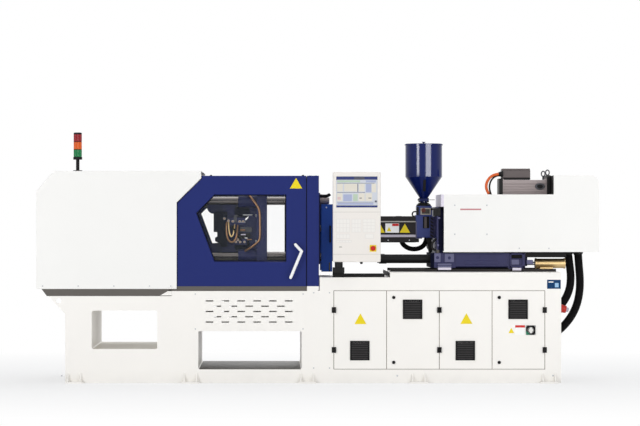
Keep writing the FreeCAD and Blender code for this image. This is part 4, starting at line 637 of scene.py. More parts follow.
# gates: a black rubber strip on the edge that paints the shadow gap beside the cover, buffers, a rubber frame round
# the window with a black band beside it that paints the shade inside the gates; on the front one also a plain yellow
# sign and the handle's feet
gate = {
    "edge": [(-1.1412, 0.776), (-1.1412, 1.4395), (-0.9452, 1.6375), (-0.9452, 1.6565)],
    "window": [(-0.843, 0.968), (-0.265, 0.968), (-0.265, 1.509), (-0.843, 1.509), (-0.99, 1.36)],
    "sign": [(-0.238, 1.556), (-0.14, 1.556), (-0.189, 1.64)],
}


def strip(points, width):  # a thin strip's outline beside an open run of points
    near, far = [Vector(point) for point in points], []
    for before, at, after in zip([near[0]] + near[:-1], near, near[1:] + [near[-1]]):
        along = (after - before).normalized()
        far.append(at + Vector((-along.y, along.x)) * -width)
    return [tuple(point) for point in near + far[::-1]]


def ringParts(shape, finishName, outline, width, low, high, softEdge=0.001):  # a frame round a closed outline
    points = [Vector(point) for point in outline]
    count, outer = len(points), []
    for step in range(count):
        before, at, after = points[step - 1], points[step], points[(step + 1) % count]
        first, second = (at - before).normalized(), (after - at).normalized()
        normal = (Vector((first.y, -first.x)) + Vector((second.y, -second.x))).normalized()
        outer.append(at + normal * width / max(0.3, normal.dot(Vector((first.y, -first.x)))))
    for step in range(count):
        after = (step + 1) % count
        shape.slab(finishName, [tuple(points[step]), tuple(points[after]), tuple(outer[after]), tuple(outer[step])],
                   low, high, "Y", softEdge)
    return shape


for name, side, sign in (("frontGateTrim", -1, True), ("rearGateTrim", 1, False)):
    body = "front_gate" if sign else "rear_gate"
    parts = Shape(name)
    face = side * 0.567
    # the black strip along the gate's edge paints the shadow gap between gate and cover
    parts.slab("rubberBlack", strip(gate["edge"], 0.0045), face - side * 0.004, face + side * 0.0008, "Y", 0.0004)
    ringParts(parts, "rubberBlack", gate["window"], -0.01, side * 0.5425, side * 0.5372)
    # the black band round the window on the inner face paints the shade seen inside the gates
    ringParts(parts, "mattBlack", gate["window"], 0.03, side * 0.5372, side * 0.5362, 0.0003)
    for x in (-0.869, -0.133):
        parts.rod("mattBlack", (x, side * 0.551, 1.656), (x, side * 0.551, 1.665), 0.009, 0.002)
    for x in (-1.02, -0.23):
        parts.block("sillGrey", (x - 0.045, side * 0.557, 0.7742), (x + 0.045, side * 0.545, 0.79), 0.002)
    if sign:
        parts.slab("signYellow", gate["sign"], face, face - 0.0012, "Y", 0.0004)
        for x, z in ((-0.194, 1.107), (-0.232, 0.845)):
            parts.rod("mattBlack", (x, face, z), (x, face - 0.004, z), 0.0135, 0.0012)
    parts.done(body, "gate_navy")

# posts beside the gates: black seals and steel buttons on top
post = Shape("gatePostTrim")
post.both("block", "rubberBlack", (-0.1065, 0.566, 0.78), (-0.1012, 0.545, 1.652), 0.0008)
for x in (-0.075, -0.03):
    post.both("rod", "groundSteel", (x, 0.545, 1.6575), (x, 0.545, 1.6635), 0.008, 0.0015)
post.done("bed", "guard_blue")

# black lifting handles that lie on the ends of the upper tie bars
tieHandles = {"y": 0.225, "radius": 0.0125, "sleeve": 0.0268,
              "run": [(0.001, 1.503), (0.02, 1.5), (0.04, 1.499), (0.062, 1.499), (0.08, 1.504), (0.092, 1.515)]}
handles = Shape("tieBarHandles")
y, sleeve = tieHandles["y"], tieHandles["sleeve"]
handles.both("pipe", "mattBlack", [(x, y, z) for x, z in tieHandles["run"]], tieHandles["radius"])
for side in (-1, 1):
    handles.lathe("motorGrey", (0.0015, side * y, 1.46), (1, 0, 0),
                  [(0, 0), (0, sleeve), (0.081, sleeve), (0.083, 0.025), (0.083, 0)], 40)
handles.done("bed", "hardware_black")

# moving platen: water pipes, manifolds, hole covers and fittings on both sides of its webs
platenPipes = {
    "radius": 0.0078, "holes": ((-0.625, 1.375), (-0.625, 1.095)),
    "runs": (  # finish, thickness as a share of the radius, points with Y as on the operator's side
        ("copperPipe", 1.15, [(-0.59, -0.262, 1.53), (-0.562, -0.29, 1.498), (-0.532, -0.3, 1.462),
                              (-0.5, -0.306, 1.418), (-0.48, -0.3085, 1.375), (-0.4785, -0.3085, 1.25),
                              (-0.4785, -0.3085, 1.17), (-0.486, -0.306, 1.135), (-0.516, -0.3, 1.108),
                              (-0.556, -0.29, 1.078), (-0.6, -0.262, 1.052)]),
        ("copperPipe", 1.0, [(-0.74, -0.19, 1.3), (-0.753, -0.232, 1.285), (-0.753, -0.24, 1.2),
                             (-0.74, -0.24, 1.14), (-0.706, -0.24, 1.118), (-0.676, -0.24, 1.145),
                             (-0.664, -0.238, 1.205), (-0.66, -0.2, 1.262)]),
        ("brassDrum", 0.8, [(-0.735, -0.2, 1.3), (-0.735, -0.226, 1.28), (-0.73, -0.228, 1.2),
                            (-0.716, -0.228, 1.166), (-0.7, -0.228, 1.175), (-0.69, -0.228, 1.215),
                            (-0.684, -0.2, 1.27)]),
        ("rubberBlack", 1.3, [(-0.7, -0.196, 1.25), (-0.69, -0.222, 1.225), (-0.664, -0.23, 1.19),
                              (-0.65, -0.226, 1.16), (-0.64, -0.196, 1.14)]),
        ("rubberBlack", 1.5, [(-0.77, -0.18, 1.36), (-0.772, -0.205, 1.345), (-0.79, -0.212, 1.31),
                              (-0.8, -0.21, 1.262), (-0.785, -0.18, 1.235)])),
    "blocks": (  # finish, low corner, high corner, Y as on the operator's side
        ("platenNavy", (-0.745, -0.205, 1.262), (-0.6, -0.166, 1.325)),
        ("platenNavy", (-0.7, -0.2, 1.1), (-0.585, -0.166, 1.15)),
        ("mattBlack", (-0.785, -0.196, 1.18), (-0.765, -0.166, 1.36)),
        ("linkIron", (-0.693, -0.214, 1.285), (-0.668, -0.166, 1.345)),
        ("linkIron", (-0.64, -0.19, 1.205), (-0.545, -0.166, 1.245)),
        ("mattBlack", (-0.64, -0.196, 1.16), (-0.56, -0.166, 1.196)),
        ("groundSteel", (-0.618, -0.184, 1.342), (-0.54, -0.166, 1.35)),
        ("groundSteel", (-0.662, -0.184, 1.284), (-0.596, -0.206, 1.29)),
        ("plateLavender", (-0.636, -0.2, 1.181), (-0.594, -0.19, 1.19))),
    "backPlate": [(-0.745, 1.371), (-0.856, 1.371), (-0.856, 1.206), (-0.827, 1.206), (-0.827, 1.17),
                  (-0.845, 1.16), (-0.845, 1.132), (-0.822, 1.12), (-0.8, 1.112), (-0.79, 1.086),
                  (-0.745, 1.086)],
    "nuts": ((-0.7, 1.293), (-0.644, 1.293), (-0.616, 1.293), (-0.735, 1.298), (-0.768, 1.315), (-0.675, 1.125),
             (-0.64, 1.125), (-0.605, 1.125), (-0.658, 1.143)),
}
plumbing = Shape("platenPipework")
for finish, share, run in platenPipes["runs"]:
    plumbing.both("pipe", finish, run, platenPipes["radius"] * share)
for finish, low, high in platenPipes["blocks"]:
    plumbing.both("block", finish, low, high, 0.003)
for near, far in ((0.2125, 0.2225), (-0.2225, -0.2125)):  # clear of the guide rods when the platen opens
    plumbing.slab("frontNavy", platenPipes["backPlate"], near, far, "Y", 0.003)
plumbing.both("block", "frontNavy", (-0.8, 0.214, 1.15), (-0.745, 0.166, 1.33), 0.002)
for x, z in platenPipes["holes"]:
    plumbing.both("rod", "frontNavy", (x, 0.167, z), (x, 0.173, z), 0.063, 0.001, 40)
    for turn in range(4):
        at = math.tau * (turn + 0.5) / 4
        plumbing.both("screw", "linkIron", (x + 0.053 * math.cos(at), 0.173, z + 0.053 * math.sin(at)), (0, 1, 0),
                      0.006)
for x, z in platenPipes["nuts"]:
    plumbing.both("rod", "groundSteel", (x, 0.196, z), (x, 0.226, z), 0.0105, 0.001, 6)
    plumbing.both("rod", "copperPipe", (x, 0.225, z), (x, 0.238, z), 0.0065, 0.001)
plumbing.both("rod", "copperPipe", (-0.65, 0.178, 1.145), (-0.545, 0.178, 1.145), 0.006, 0.001)
plumbing.both("rod", "copperPipe", (-0.64, 0.196, 1.222), (-0.6, 0.196, 1.222), 0.008, 0.001)
for z in (1.13, 1.34):
    plumbing.both("rod", "groundSteel", (-0.5045, 0.245, z), (-0.5165, 0.245, z), 0.013, 0.001, 6)
plumbing.done("platen", "machined_steel")
print("clamp dressed")

# cabinet doors: seals in the seams, fan filters, plain yellow signs, and the main switch's colours
doors = {
    "seams": (0.113, 0.5346, 0.9562, 1.3778, 1.7994), "low": 0.112, "high": 0.739,
    "grilles": ((0.3205, 0.2605), (0.7421, 0.5905), (1.1637, 0.2605), (1.5853, 0.5905)),
    "grilleHalf": 0.0778, "slats": 9, "slatPitch": 0.014333,
    "signs": {"door_1": (0.3255, 0.472), "door_3": (1.1725, 0.474)}, "signSize": (0.096, 0.086),
}


def plainSign(shape, x, z, size, face, finishName="signYellow"):  # a bare three-sided plate on a front face
    half, height = size[0] / 2, size[1]
    shape.slab(finishName, [(x - half, z), (x + half, z), (x, z + height)], face, face - 0.001, "Y", 0.0004)


seals = Shape("doorSeals")
for x in doors["seams"]:
    seals.block("seamBrown", (x - 0.0026, -0.5752, doors["low"]), (x + 0.0026, -0.5722, doors["high"]), 0.0004)
for z in (doors["low"], doors["high"]):
    seals.block("seamBrown", (0.1105, -0.5752, z - 0.0024), (1.802, -0.5722, z + 0.002), 0.0004)
seals.done("bed", "bed_white")

for number, (x, z) in enumerate(doors["grilles"]):
    body, half = "door_" + str(number + 1), doors["grilleHalf"]
    fan = Shape("doorFilter" + str(number + 1))
    for side in (-1, 1):
        fan.block("mattBlack", (x + side * 0.0642, -0.5824, z - half), (x + side * half, -0.5752, z + half), 0.0015)
        fan.block("mattBlack", (x - half, -0.5824, z + side * 0.0642), (x + half, -0.5752, z + side * half), 0.0015)
    for slat in range(doors["slats"]):
        low = z - 0.0645 + slat * doors["slatPitch"] + doors["slatPitch"] / 2
        fan.block("mattBlack", (x - 0.065, -0.5823, low - 0.0002), (x + 0.065, -0.5758, low + 0.0074), 0.0008)
    fan.block("filterMesh", (x - 0.0648, -0.5764, z - 0.0648), (x + 0.0648, -0.5761, z + 0.0648), 0.0)
    if body in doors["signs"]:
        plainSign(fan, *doors["signs"][body], doors["signSize"], -0.575)
    fan.done(body, "hardware_black")

mainSwitch = {"centre": (1.6858, 0.424), "half": 0.0403}
x, z = mainSwitch["centre"]
switch = Shape("mainSwitchPlate")
half = mainSwitch["half"]
switch.block("mattBlack", (x - half, -0.5834, z - half), (x + half, -0.5751, z + half), 0.003)
switch.rod("mattBlack", (x, -0.583, z), (x, -0.5911, z), 0.0243, 0.0015, 40)
switch.slab("switchGreen", [(x - 0.0375, z - 0.0375), (x - 0.004, z - 0.0375), (x - 0.02, z - 0.018),
                            (x - 0.0375, z - 0.006)], -0.5833, -0.5842, "Y", 0.0004)
for a, b in ((-1, 1), (1, 1), (1, -1)):
    switch.screw("groundSteel", (x + a * 0.033, -0.5834, z + b * 0.033), (0, -1, 0), 0.0035, 0.002)
plainSign(switch, 1.5315, 0.4, (0.046, 0.042), -0.575)
switch.block("stripRed", (1.5625, -0.5758, 0.4445), (1.6405, -0.575, 0.463), 0.0004)
switch.block("signWhite", (1.5625, -0.5756, 0.386), (1.6405, -0.575, 0.444), 0.0004)
switch.done("door_4", "lock_black")

# panels screwed to the bed, the bare blue plate, plates on the tunnel floors (the dark grey one paints the shade in
# the closed tunnel), drip tray and the red outlet
bedTrim = {
    "ventScrews": ((-0.994, 0.434), (-0.133, 0.434), (-0.994, 0.712), (-0.133, 0.712)),
    "jointScrews": ((-0.048, 0.121), (0.079, 0.121), (-0.048, 0.723), (0.079, 0.723)),
    "step": (0.5594, 0.562, 0.847, 0.884), "stepBolts": (-0.54, -0.36, -0.18, 0.18, 0.36, 0.54),
    "plate": (1.8175, 0.7545, 1.9265, 0.8265),
    "linings": (("trayGrey", -0.971, -0.144, 0.1102), ("trayPale", -1.822, -1.298, 0.2722)),
}
screws = Shape("bedPanelScrews")
for x, z in bedTrim["ventScrews"] + bedTrim["jointScrews"]:
    screws.both("screw", "groundSteel", (x, 0.578, z), (0, 1, 0), 0.0055)
for x, z in ((1.865, 0.06), (0.62, 0.06), (-2.06, 0.06)):
    screws.screw("groundSteel", (x, -0.575, z), (0, -1, 0), 0.0075)
left, right, low, high = bedTrim["step"]  # dark end plate on the step between the two decks
screws.block("mattBlack", (left, -0.573, low), (right, 0.573, high), 0.0008)
for y in bedTrim["stepBolts"]:
    screws.screw("mattBlack", (left, y, (low + high) / 2), (-1, 0, 0), 0.0075)
left, low, right, high = bedTrim["plate"]
screws.block("plateBlue", (left, -0.5762, low), (right, -0.575, high), 0.0006)
screws.block("platePale", (left + 0.062, -0.5766, low + 0.012), (left + 0.092, -0.576, low + 0.046), 0.0003)
screws.block("signWhite", (left + 0.012, -0.5766, high - 0.022), (left + 0.05, -0.576, high - 0.014), 0.0003)
screws.both("block", "bedWhite", (-1.28, 0.56, 0.7005), (-1.1835, 0.5735, 0.7355), 0.0006)  # beside the sill's ends
screws.done("bed", "bed_white")

# the dark grey plate on the tunnel floor paints the shade inside the closed tunnel
linings = Shape("tunnelFloorPlates")
for finish, left, right, floorZ in bedTrim["linings"]:
    linings.block(finish, (left, -0.571, floorZ), (right, 0.571, floorZ + 0.0014), 0.0005)
linings.done("bed", "sill_grey")

outlet = Shape("powerOutlet")
outlet.block("mattBlack", (1.93, -0.5, 0.545), (1.939, -0.404, 0.641), 0.004)
outlet.lathe("connectorRed", (1.938, -0.452, 0.593), (1, 0, -0.18),
             [(0, 0), (0, 0.034), (0.012, 0.035), (0.016, 0.031), (0.046, 0.029), (0.05, 0.0)], 36, 0.001)
outlet.lathe("bandGrey", (1.983, -0.452, 0.5845), (1, 0, -0.18),
             [(0, 0), (0, 0.02), (0.018, 0.017), (0.022, 0.012), (0.022, 0)], 28)
outlet.done("bed", "stop_red")

dripTray = {"left": 0.165, "right": 0.523, "front": -0.485, "back": -0.235, "low": 0.8452, "high": 0.87}
tray = Shape("dripTray")
left, right, front, back, low, high = dripTray.values()
tray.block("satinBlack", (left, front, low), (right, back, low + 0.004), 0.001)
for a, b, c, d in ((left, right, front, front + 0.006), (left, right, back - 0.006, back),
                   (left, left + 0.006, front, back), (right - 0.006, right, front, back)):
    tray.block("satinBlack", (a, c, low), (b, d, high), 0.0012)
tray.done("bed", "hardware_black")
print("bed dressed")

# control panel: screen picture in plain fields, key fields, stop button's plate, back cover
panel = {
    "screen": (0.1295, 0.4565, 1.4035, 1.6495),
    "fields": (  # finish, left, right, bottom, top as shares of the screen
        ("screenNavy", 0.0, 1.0, 0.895, 1.0), ("screenInk", 0.43, 0.69, 0.9, 0.985),
        ("screenGreen", 0.02, 0.58, 0.81, 0.875), ("screenBlue", 0.72, 0.96, 0.81, 0.875),
        ("screenInk", 0.02, 0.93, 0.776, 0.788), ("screenCream", 0.02, 0.16, 0.515, 0.762),
        ("screenCream", 0.19, 0.51, 0.515, 0.762), ("screenCream", 0.55, 0.69, 0.515, 0.762),
        ("screenBlue", 0.72, 0.85, 0.49, 0.762), ("screenCream", 0.86, 0.97, 0.49, 0.762),
        ("screenInk", 0.515, 0.53, 0.5, 0.762), ("screenInk", 0.02, 0.7, 0.478, 0.49),
        ("screenCream", 0.02, 0.15, 0.205, 0.46), ("screenRose", 0.03, 0.11, 0.255, 0.34),
        ("screenBlue", 0.17, 0.38, 0.205, 0.42), ("screenGreen", 0.41, 0.52, 0.205, 0.43),
        ("screenCream", 0.54, 0.69, 0.205, 0.46), ("screenInk", 0.56, 0.62, 0.29, 0.315),
        ("screenCream", 0.71, 0.87, 0.205, 0.46), ("screenInk", 0.78, 0.85, 0.29, 0.315),
        ("screenInk", 0.02, 0.91, 0.165, 0.175), ("screenInk", 0.935, 0.985, 0.165, 0.225),
        ("screenBlue", 0.03, 0.9, 0.088, 0.15), ("screenNavy", 0.0, 1.0, 0.0, 0.066)),
    "keyFields": (  # left, right, bottom, top, columns, rows
        (0.129, 0.238, 1.2062, 1.313, 4, 3), (0.252, 0.327, 1.2062, 1.313, 3, 3),
        (0.34, 0.439, 1.2062, 1.313, 3, 4), (0.129, 0.238, 1.156, 1.1935, 4, 1),
        (0.357, 0.426, 1.156, 1.1935, 1, 1), (0.129, 0.252, 1.126, 1.143, 5, 1)),
    "keyMargin": 0.002, "keyGap": 0.0015, "stop": (0.421, 1.079), "backScrews": (0.125, 0.2925, 0.46),
}
left, right, bottom, top = panel["screen"]
screen = Shape("screenPicture")
screen.block("screenPale", (left, -0.6984, bottom), (right, -0.6979, top), 0.0)
for level, (finish, a, b, c, d) in enumerate(panel["fields"]):
    face = -0.6987 - 0.00001 * level
    screen.block(finish, (left + a * (right - left), face, bottom + c * (top - bottom)),
                 (left + b * (right - left), -0.6983, bottom + d * (top - bottom)), 0.0)
screen.done("panel", "screen")

keys = Shape("panelKeys")
margin, gap = panel["keyMargin"], panel["keyGap"]
for left, right, bottom, top, columns, rows in panel["keyFields"]:
    keys.block("keyGrey", (left, -0.7003, bottom), (right, -0.6995, top), 0.0002)
    wide, tall = (right - left - 2 * margin) / columns, (top - bottom - 2 * margin) / rows
    for column in range(columns):
        for row in range(rows):
            x, z = left + margin + column * wide, bottom + margin + row * tall
            keys.block("keyWhite", (x + gap, -0.7011, z + gap), (x + wide - gap, -0.7002, z + tall - gap), 0.0004)
x, z = panel["stop"]
keys.block("signYellow", (x - 0.0265, -0.701, z - 0.0265), (x + 0.0265, -0.6998, z + 0.0265), 0.0004)
keys.rod("satinBlack", (x, -0.7008, z), (x, -0.7045, z), 0.0165, 0.0006, 32)
keys.block("seamGrey", (0.152, -0.7008, 1.0855), (0.174, -0.6998, 1.0935), 0.0004)
for seam in (1.367, 1.032):
    keys.block("seamGrey", (0.1035, -0.699, seam - 0.001), (0.4815, -0.6982, seam + 0.001), 0.0)
keys.done("panel", "panel_white")

back = Shape("panelBack")
back.block("panelWhite", (0.12, -0.6255, 1.06), (0.465, -0.6232, 1.66), 0.0009)
for x in panel["backScrews"]:
    for z in (1.074, 1.646):
        back.screw("groundSteel", (x, -0.6232, z), (0, 1, 0), 0.0045)
back.lathe("mattBlack", (0.33, -0.662, 0.9708), (0, 0, -1),
           [(0, 0), (0, 0.013), (0.005, 0.013), (0.006, 0.01), (0.016, 0.0095), (0.018, 0.0)], 24)
back.done("panel", "panel_white")
print("panel dressed")

# purge guard: edge strip, handle, bolts and the spring pin under the front part
purge = {"step": 0.985, "high": 1.432}
hood = Shape("purgeGuardTrim")
hood.block("rubberBlack", (0.3205, -0.3006, purge["step"] + 0.004), (0.3298, -0.2985, purge["high"] - 0.004), 0.0006)
hood.rod("sillGrey", (0.086, -0.3005, 0.96), (0.086, -0.3005, 0.9), 0.006, 0.001)
hood.rod("mattBlack", (0.086, -0.3005, 0.9), (0.086, -0.3005, 0.886), 0.004, 0.001)
for x in (0.06, 0.29):
    hood.both("screw", "groundSteel", (x, 0.3, 1.405), (0, 1, 0), 0.0055)
for z in (1.13, 1.25):
    hood.rod("mattBlack", (0.09, -0.3, z), (0.09, -0.322, z), 0.0065, 0.0008)
hood.along("mattBlack", [Vector((0.09, -0.322, 1.122)), Vector((0.09, -0.322, 1.258))], [0.0075, 0.0075])
hood.done("purge_guard", "guard_blue")

# barrel cover: rails along both sides, screws, and plain plates in the near band
heater = {"left": 0.38, "right": 0.794, "half": 0.11, "band": -0.098,
          "screws": (0.42, 0.5695, 0.743), "triangles": ((0.503, 0.08), (0.7065, 0.086))}
sheet = Shape("barrelCoverTrim")
left, right, half = heater["left"], heater["right"], heater["half"]
sheet.both("block", "seamGrey", (left, 0.1094, 1.286), (right, half + 0.0015, 1.2955), 0.0006)
sheet.both("block", "bandGrey", (left, 0.1094, 1.164), (right, half + 0.0025, 1.184), 0.0006)
sheet.both("block", "satinBlack", (0.79, 0.1, 1.122), (0.822, 0.109, 1.15), 0.002)
for x in heater["screws"]:
    sheet.both("screw", "groundSteel", (x, half, 1.138), (0, 1, 0), 0.0055)
    sheet.both("screw", "satinBlack", (x, half, 1.318), (0, 1, 0), 0.0045)
for x, width in heater["triangles"]:
    plainSign(sheet, x, 1.2, (width, 0.075), heater["band"])
sheet.block("signWhite", (0.547, -0.099, 1.2), (0.659, -0.0979, 1.276), 0.0004)
sheet.block("stripRed", (0.603, -0.0995, 1.254), (0.657, -0.0988, 1.274), 0.0003)
sheet.slab("signYellow", [(0.558, 1.211), (0.596, 1.211), (0.577, 1.248)], -0.0988, -0.0994, "Y", 0.0)
for x in (0.47, 0.64):
    sheet.block("satinBlack", (x, -0.03, 1.3345), (x + 0.045, 0.03, 1.3368), 0.001)
sheet.done("carriage", "heater_cover")

# feed block: lined slot with its bar, magnet drawer, louvres, bolts and the black coupling rings
feed = {"slot": (0.856, 0.91, 1.235, 1.334), "magnet": (0.837, 0.9215, 1.346, 1.403), "knob": (0.862, 1.384),
        "hopperX": 0.867, "ringXs": (0.9345, 0.941, 0.9475), "louvres": 6}
block = Shape("feedBlockTrim")
left, right, low, high = feed["slot"]
block.block("mattBlack", (left + 0.0003, -0.0615, low + 0.0003), (right - 0.0003, -0.0605, high - 0.0003), 0.0002)
block.block("junctionGrey", (0.868, -0.074, low + 0.002), (0.888, -0.0612, high - 0.004), 0.0018)
left, right, low, high = feed["magnet"]
block.block("magnetBeige", (left, -0.061, low), (right, -0.0517, high), 0.0012)
block.block("trayGrey", (left + 0.009, -0.0614, low + 0.009), (right - 0.009, -0.0606, high - 0.009), 0.0006)
x, z = feed["knob"]
block.lathe("knobBrown", (x, -0.059, z), (0, -1, 0),
            [(0, 0), (0, 0.018), (0.0025, 0.0185), (0.005, 0.018), (0.0055, 0.015), (0.0055, 0)], 32)
for x in (left + 0.0055, right - 0.0055):
    for z in (low + 0.0055, high - 0.0055):
        block.screw("groundSteel", (x, -0.061, z), (0, -1, 0), 0.0042, 0.0025)
for x, z in ((0.813, 1.393), (0.813, 1.356), (0.929, 1.393)):
    block.rod("satinBlack", (x, -0.052, z), (x, -0.07, z), 0.0105, 0.002, 24)
block.block("satinBlack", (0.805, -0.064, 1.344), (0.823, -0.0515, 1.412), 0.003)
block.pipe("satinBlack", [(0.806, -0.04, 1.372), (0.79, -0.04, 1.374), (0.776, -0.04, 1.368),
                          (0.769, -0.04, 1.352), (0.775, -0.04, 1.337), (0.79, -0.04, 1.33)], 0.006)
block.lathe("satinBlack", (feed["hopperX"], 0, 1.42), (0, 0, 1),
            [(0, 0.02), (0, 0.06), (0.01, 0.06), (0.0145, 0.048), (0.024, 0.044), (0.027, 0.032)], 40, 0.0)
for turn in range(6):
    at = math.tau * (turn + 0.5) / 6
    x, y = feed["hopperX"] + 0.052 * math.cos(at), 0.052 * math.sin(at)
    block.rod("satinBlack", (x, y, 1.4295), (x, y, 1.4365), 0.0062, 0.0008, 6)
for x in (0.832, 0.902):
    for y in (-0.036, 0.036):
        block.rod("satinBlack", (x, y, 1.479), (x, y, 1.485), 0.0062, 0.0008, 6)
        block.rod("satinBlack", (x, y, 1.461), (x, y, 1.45), 0.0062, 0.0008, 6)
for x in feed["ringXs"]:
    block.lathe("satinBlack", (x, 0, 1.235), (1, 0, 0),
                [(0, 0.074), (0, 0.0775), (0.0036, 0.0775), (0.0036, 0.074)], 48)
block.both("block", "baseNavy", (0.914, 0.0752, 1.155), (0.953, 0.079, 1.334), 0.001)
block.both("block", "blockLilac", (0.783, 0.06, 1.156), (0.807, 0.077, 1.293), 0.004)
block.both("block", "blockLilac", (0.8, 0.05, 1.15), (0.85, 0.072, 1.1585), 0.003)
for step in range(feed["louvres"]):
    z = 1.16 + 0.028 * step
    for near, far in ((-0.0808, -0.0788), (0.0788, 0.0808)):
        block.slab("mattBlack", [(0.9165, z + 0.016), (0.942, z), (0.942, z + 0.013), (0.9165, z + 0.029)], near, far,
                   "Y", 0.0008)
block.slab("satinBlack", [(0.884, 1.1575), (0.9318, 1.1575), (0.9318, 1.037), (0.909, 1.037)], -0.04, 0.04,
           "Y", 0.002)
block.done("carriage", "feed_blue")

# carriage: fittings of the front plate, beam panels, blocks, shoes and the rear bracket, both sides
beam = {"blocks": ((0.935, 0.986, 0.962, 1.0355), (1.019, 1.095, 0.962, 1.031)),
        "panel": (1.108, 1.532, 0.926, 1.026), "bracket": (1.546, 1.666, 0.9185, 1.034), "bar": 0.02}
dress = Shape("carriageTrim")
for left, right, low, high in beam["blocks"]:
    x, z = (left + right) / 2, (low + high) / 2
    dress.both("block", "blockLilac", (left, 0.286, low), (right, 0.2985, high), 0.004)
    dress.both("rod", "baseNavy", (x, 0.298, z), (x, 0.2995, z), 0.014, 0.0005, 6)
left, right, low, high = beam["panel"]
dress.both("block", "baseNavy", (left, 0.286, low), (right, 0.2935, high), 0.004)
dress.both("block", "frontNavy", (left, 0.286, low - 0.009), (right, 0.2915, low), 0.0015)
left, right, low, high = beam["bracket"]
bar = beam["bar"]
for a, b, c, d in ((left, right, high - bar * 0.6, high), (left, right, low, low + bar * 0.7),
                   (left, left + bar * 0.7, low, high), (right - bar, right, low, high),
                   (left, right, 0.985, 0.993)):
    dress.both("block", "baseNavy", (a, 0.286, c), (b, 0.301, d), 0.003)
for part in (
        ("block", "baseNavy", (1.184, 0.29, 0.944), (1.446, 0.2962, 0.974), 0.004, 3),
        ("rod", "baseNavy", (1.29, 0.29, 1.004), (1.29, 0.296, 1.004), 0.014, 0.004),
        ("block", "blockLilac", (0.963, 0.281, 0.9185), (1.074, 0.3005, 0.951), 0.004),
        ("block", "frontNavy", (0.961, 0.2995, 0.934), (1.076, 0.3012, 0.937), 0.0006),
        ("block", "plateLavender", (0.966, 0.2705, 0.8985), (1.071, 0.299, 0.919), 0.003),
        # the black strips under the shoes paint the shadow beneath them
        ("block", "rubberBlack", (0.969, 0.2705, 0.887), (1.068, 0.2975, 0.899), 0.003),
        ("block", "rubberBlack", (left + 0.004, 0.286, 0.99), (right - 0.004, 0.2915, high - 0.004), 0.0006),
        ("block", "blockLilac", (left + 0.012, 0.286, 0.942), (right - 0.044, 0.2965, 0.984), 0.003),
        ("block", "plateLavender", (left + 0.022, 0.2705, 0.895), (right - 0.026, 0.299, 0.9165), 0.003),
        ("block", "rubberBlack", (left + 0.006, 0.2705, 0.887), (right - 0.01, 0.2975, 0.8955), 0.003),
        ("block", "satinBlack", (0.954, 0.29, 1.336), (0.985, 0.304, 1.401), 0.004),
        ("rod", "blockLilac", (0.962, 0.303, 1.32), (0.982, 0.303, 1.32), 0.0075, 0.002),
        ("rod", "blockLilac", (0.955, 0.303, 1.1), (0.972, 0.303, 1.1), 0.01, 0.003),
        ("rod", "trayGrey", (0.962, 0.299, 1.036), (0.962, 0.299, 1.062), 0.014, 0.003),
        ("pipe", "satinBlack", [(0.955, 0.27, 1.15), (0.938, 0.276, 1.142), (0.917, 0.28, 1.115),
                                (0.914, 0.28, 1.085), (0.926, 0.282, 1.062), (0.948, 0.284, 1.06)], 0.0095)):
    dress.both(*part)
for finishName, low, high in (
        ("satinBlack", (0.93, -0.3, 1.336), (0.9553, -0.215, 1.401)),
        # the black plate under the injection cover stands in for the shade of the cover's dark underside
        ("mattBlack", (1.672, -0.29, 1.001), (2.005, 0.29, 1.0445)),
        ("frontNavy", (1.671, -0.285, 0.93), (1.69, -0.205, 1.02)),
        ("blockLilac", (1.684, -0.287, 0.944), (1.736, -0.225, 0.98))):
    dress.block(finishName, low, high, 0.004)
dress.done("carriage", "base_navy")

# carriage drive: threaded spindle from the drum into the carriage, rings and screws on the drum's ends
spindle = Shape("carriageSpindle")
thread = [(0.0, 0.0)]
for turn in range(60):
    thread += [(0.0075 * turn + along, radius) for along, radius in (
        (0.0004, 0.015), (0.0036, 0.015), (0.0042, 0.0132), (0.0071, 0.0132))]
thread += [(0.451, 0.0132), (0.451, 0.0)]
spindle.lathe("groundSteel", (1.316, -0.15, 0.95), (1, 0, 0), thread, 24)
for x, width in ((1.7655, 0.004), (2.0075, 0.004)):
    spindle.lathe("brassDrum", (x, -0.15, 0.95), (1, 0, 0),
                  [(0, 0.016), (0, 0.0425), (width, 0.0435), (width, 0.016)], 48)
for turn in range(8):
    at = math.tau * turn / 8
    for x, way in ((1.7655, -1), (2.0115, 1)):
        spindle.screw("groundSteel", (x, -0.15 + 0.033 * math.cos(at), 0.95 + 0.033 * math.sin(at)), (way, 0, 0),
                      0.0045)
spindle.done("bed", "drive_brass")

# hopper: dark sight pane in the cone and the bead round the shoulder
hopperForm = {"x": 0.867, "paneZ": (1.5395, 1.6325), "half": 0.0112, "coneLow": (1.479, 0.03),
              "coneHigh": (1.659, 0.151)}


def coneRadius(z):
    (lowZ, lowRadius), (highZ, highRadius) = hopperForm["coneLow"], hopperForm["coneHigh"]
    return lowRadius + (highRadius - lowRadius) * (z - lowZ) / (highZ - lowZ)


drum = Shape("hopperTrim")
low, high = hopperForm["paneZ"]
inner, outer = coneRadius(low), coneRadius(high)
pane = [(-inner + 0.0032, low), (-inner + 0.0008, low), (-outer + 0.0008, high), (-outer + 0.0032, high)]
drum.slab("mattBlack", pane, hopperForm["x"] - hopperForm["half"], hopperForm["x"] + hopperForm["half"], "X", 0.0004)
drum.lathe("hopperNavy", (hopperForm["x"], 0, 1.657), (0, 0, 1),
           [(-0.0015, 0.1496), (0.0, 0.1519), (0.002, 0.1524), (0.004, 0.1519), (0.0055, 0.1505)], 72)
hopperTrim = drum.done("carriage", "hopper_navy")

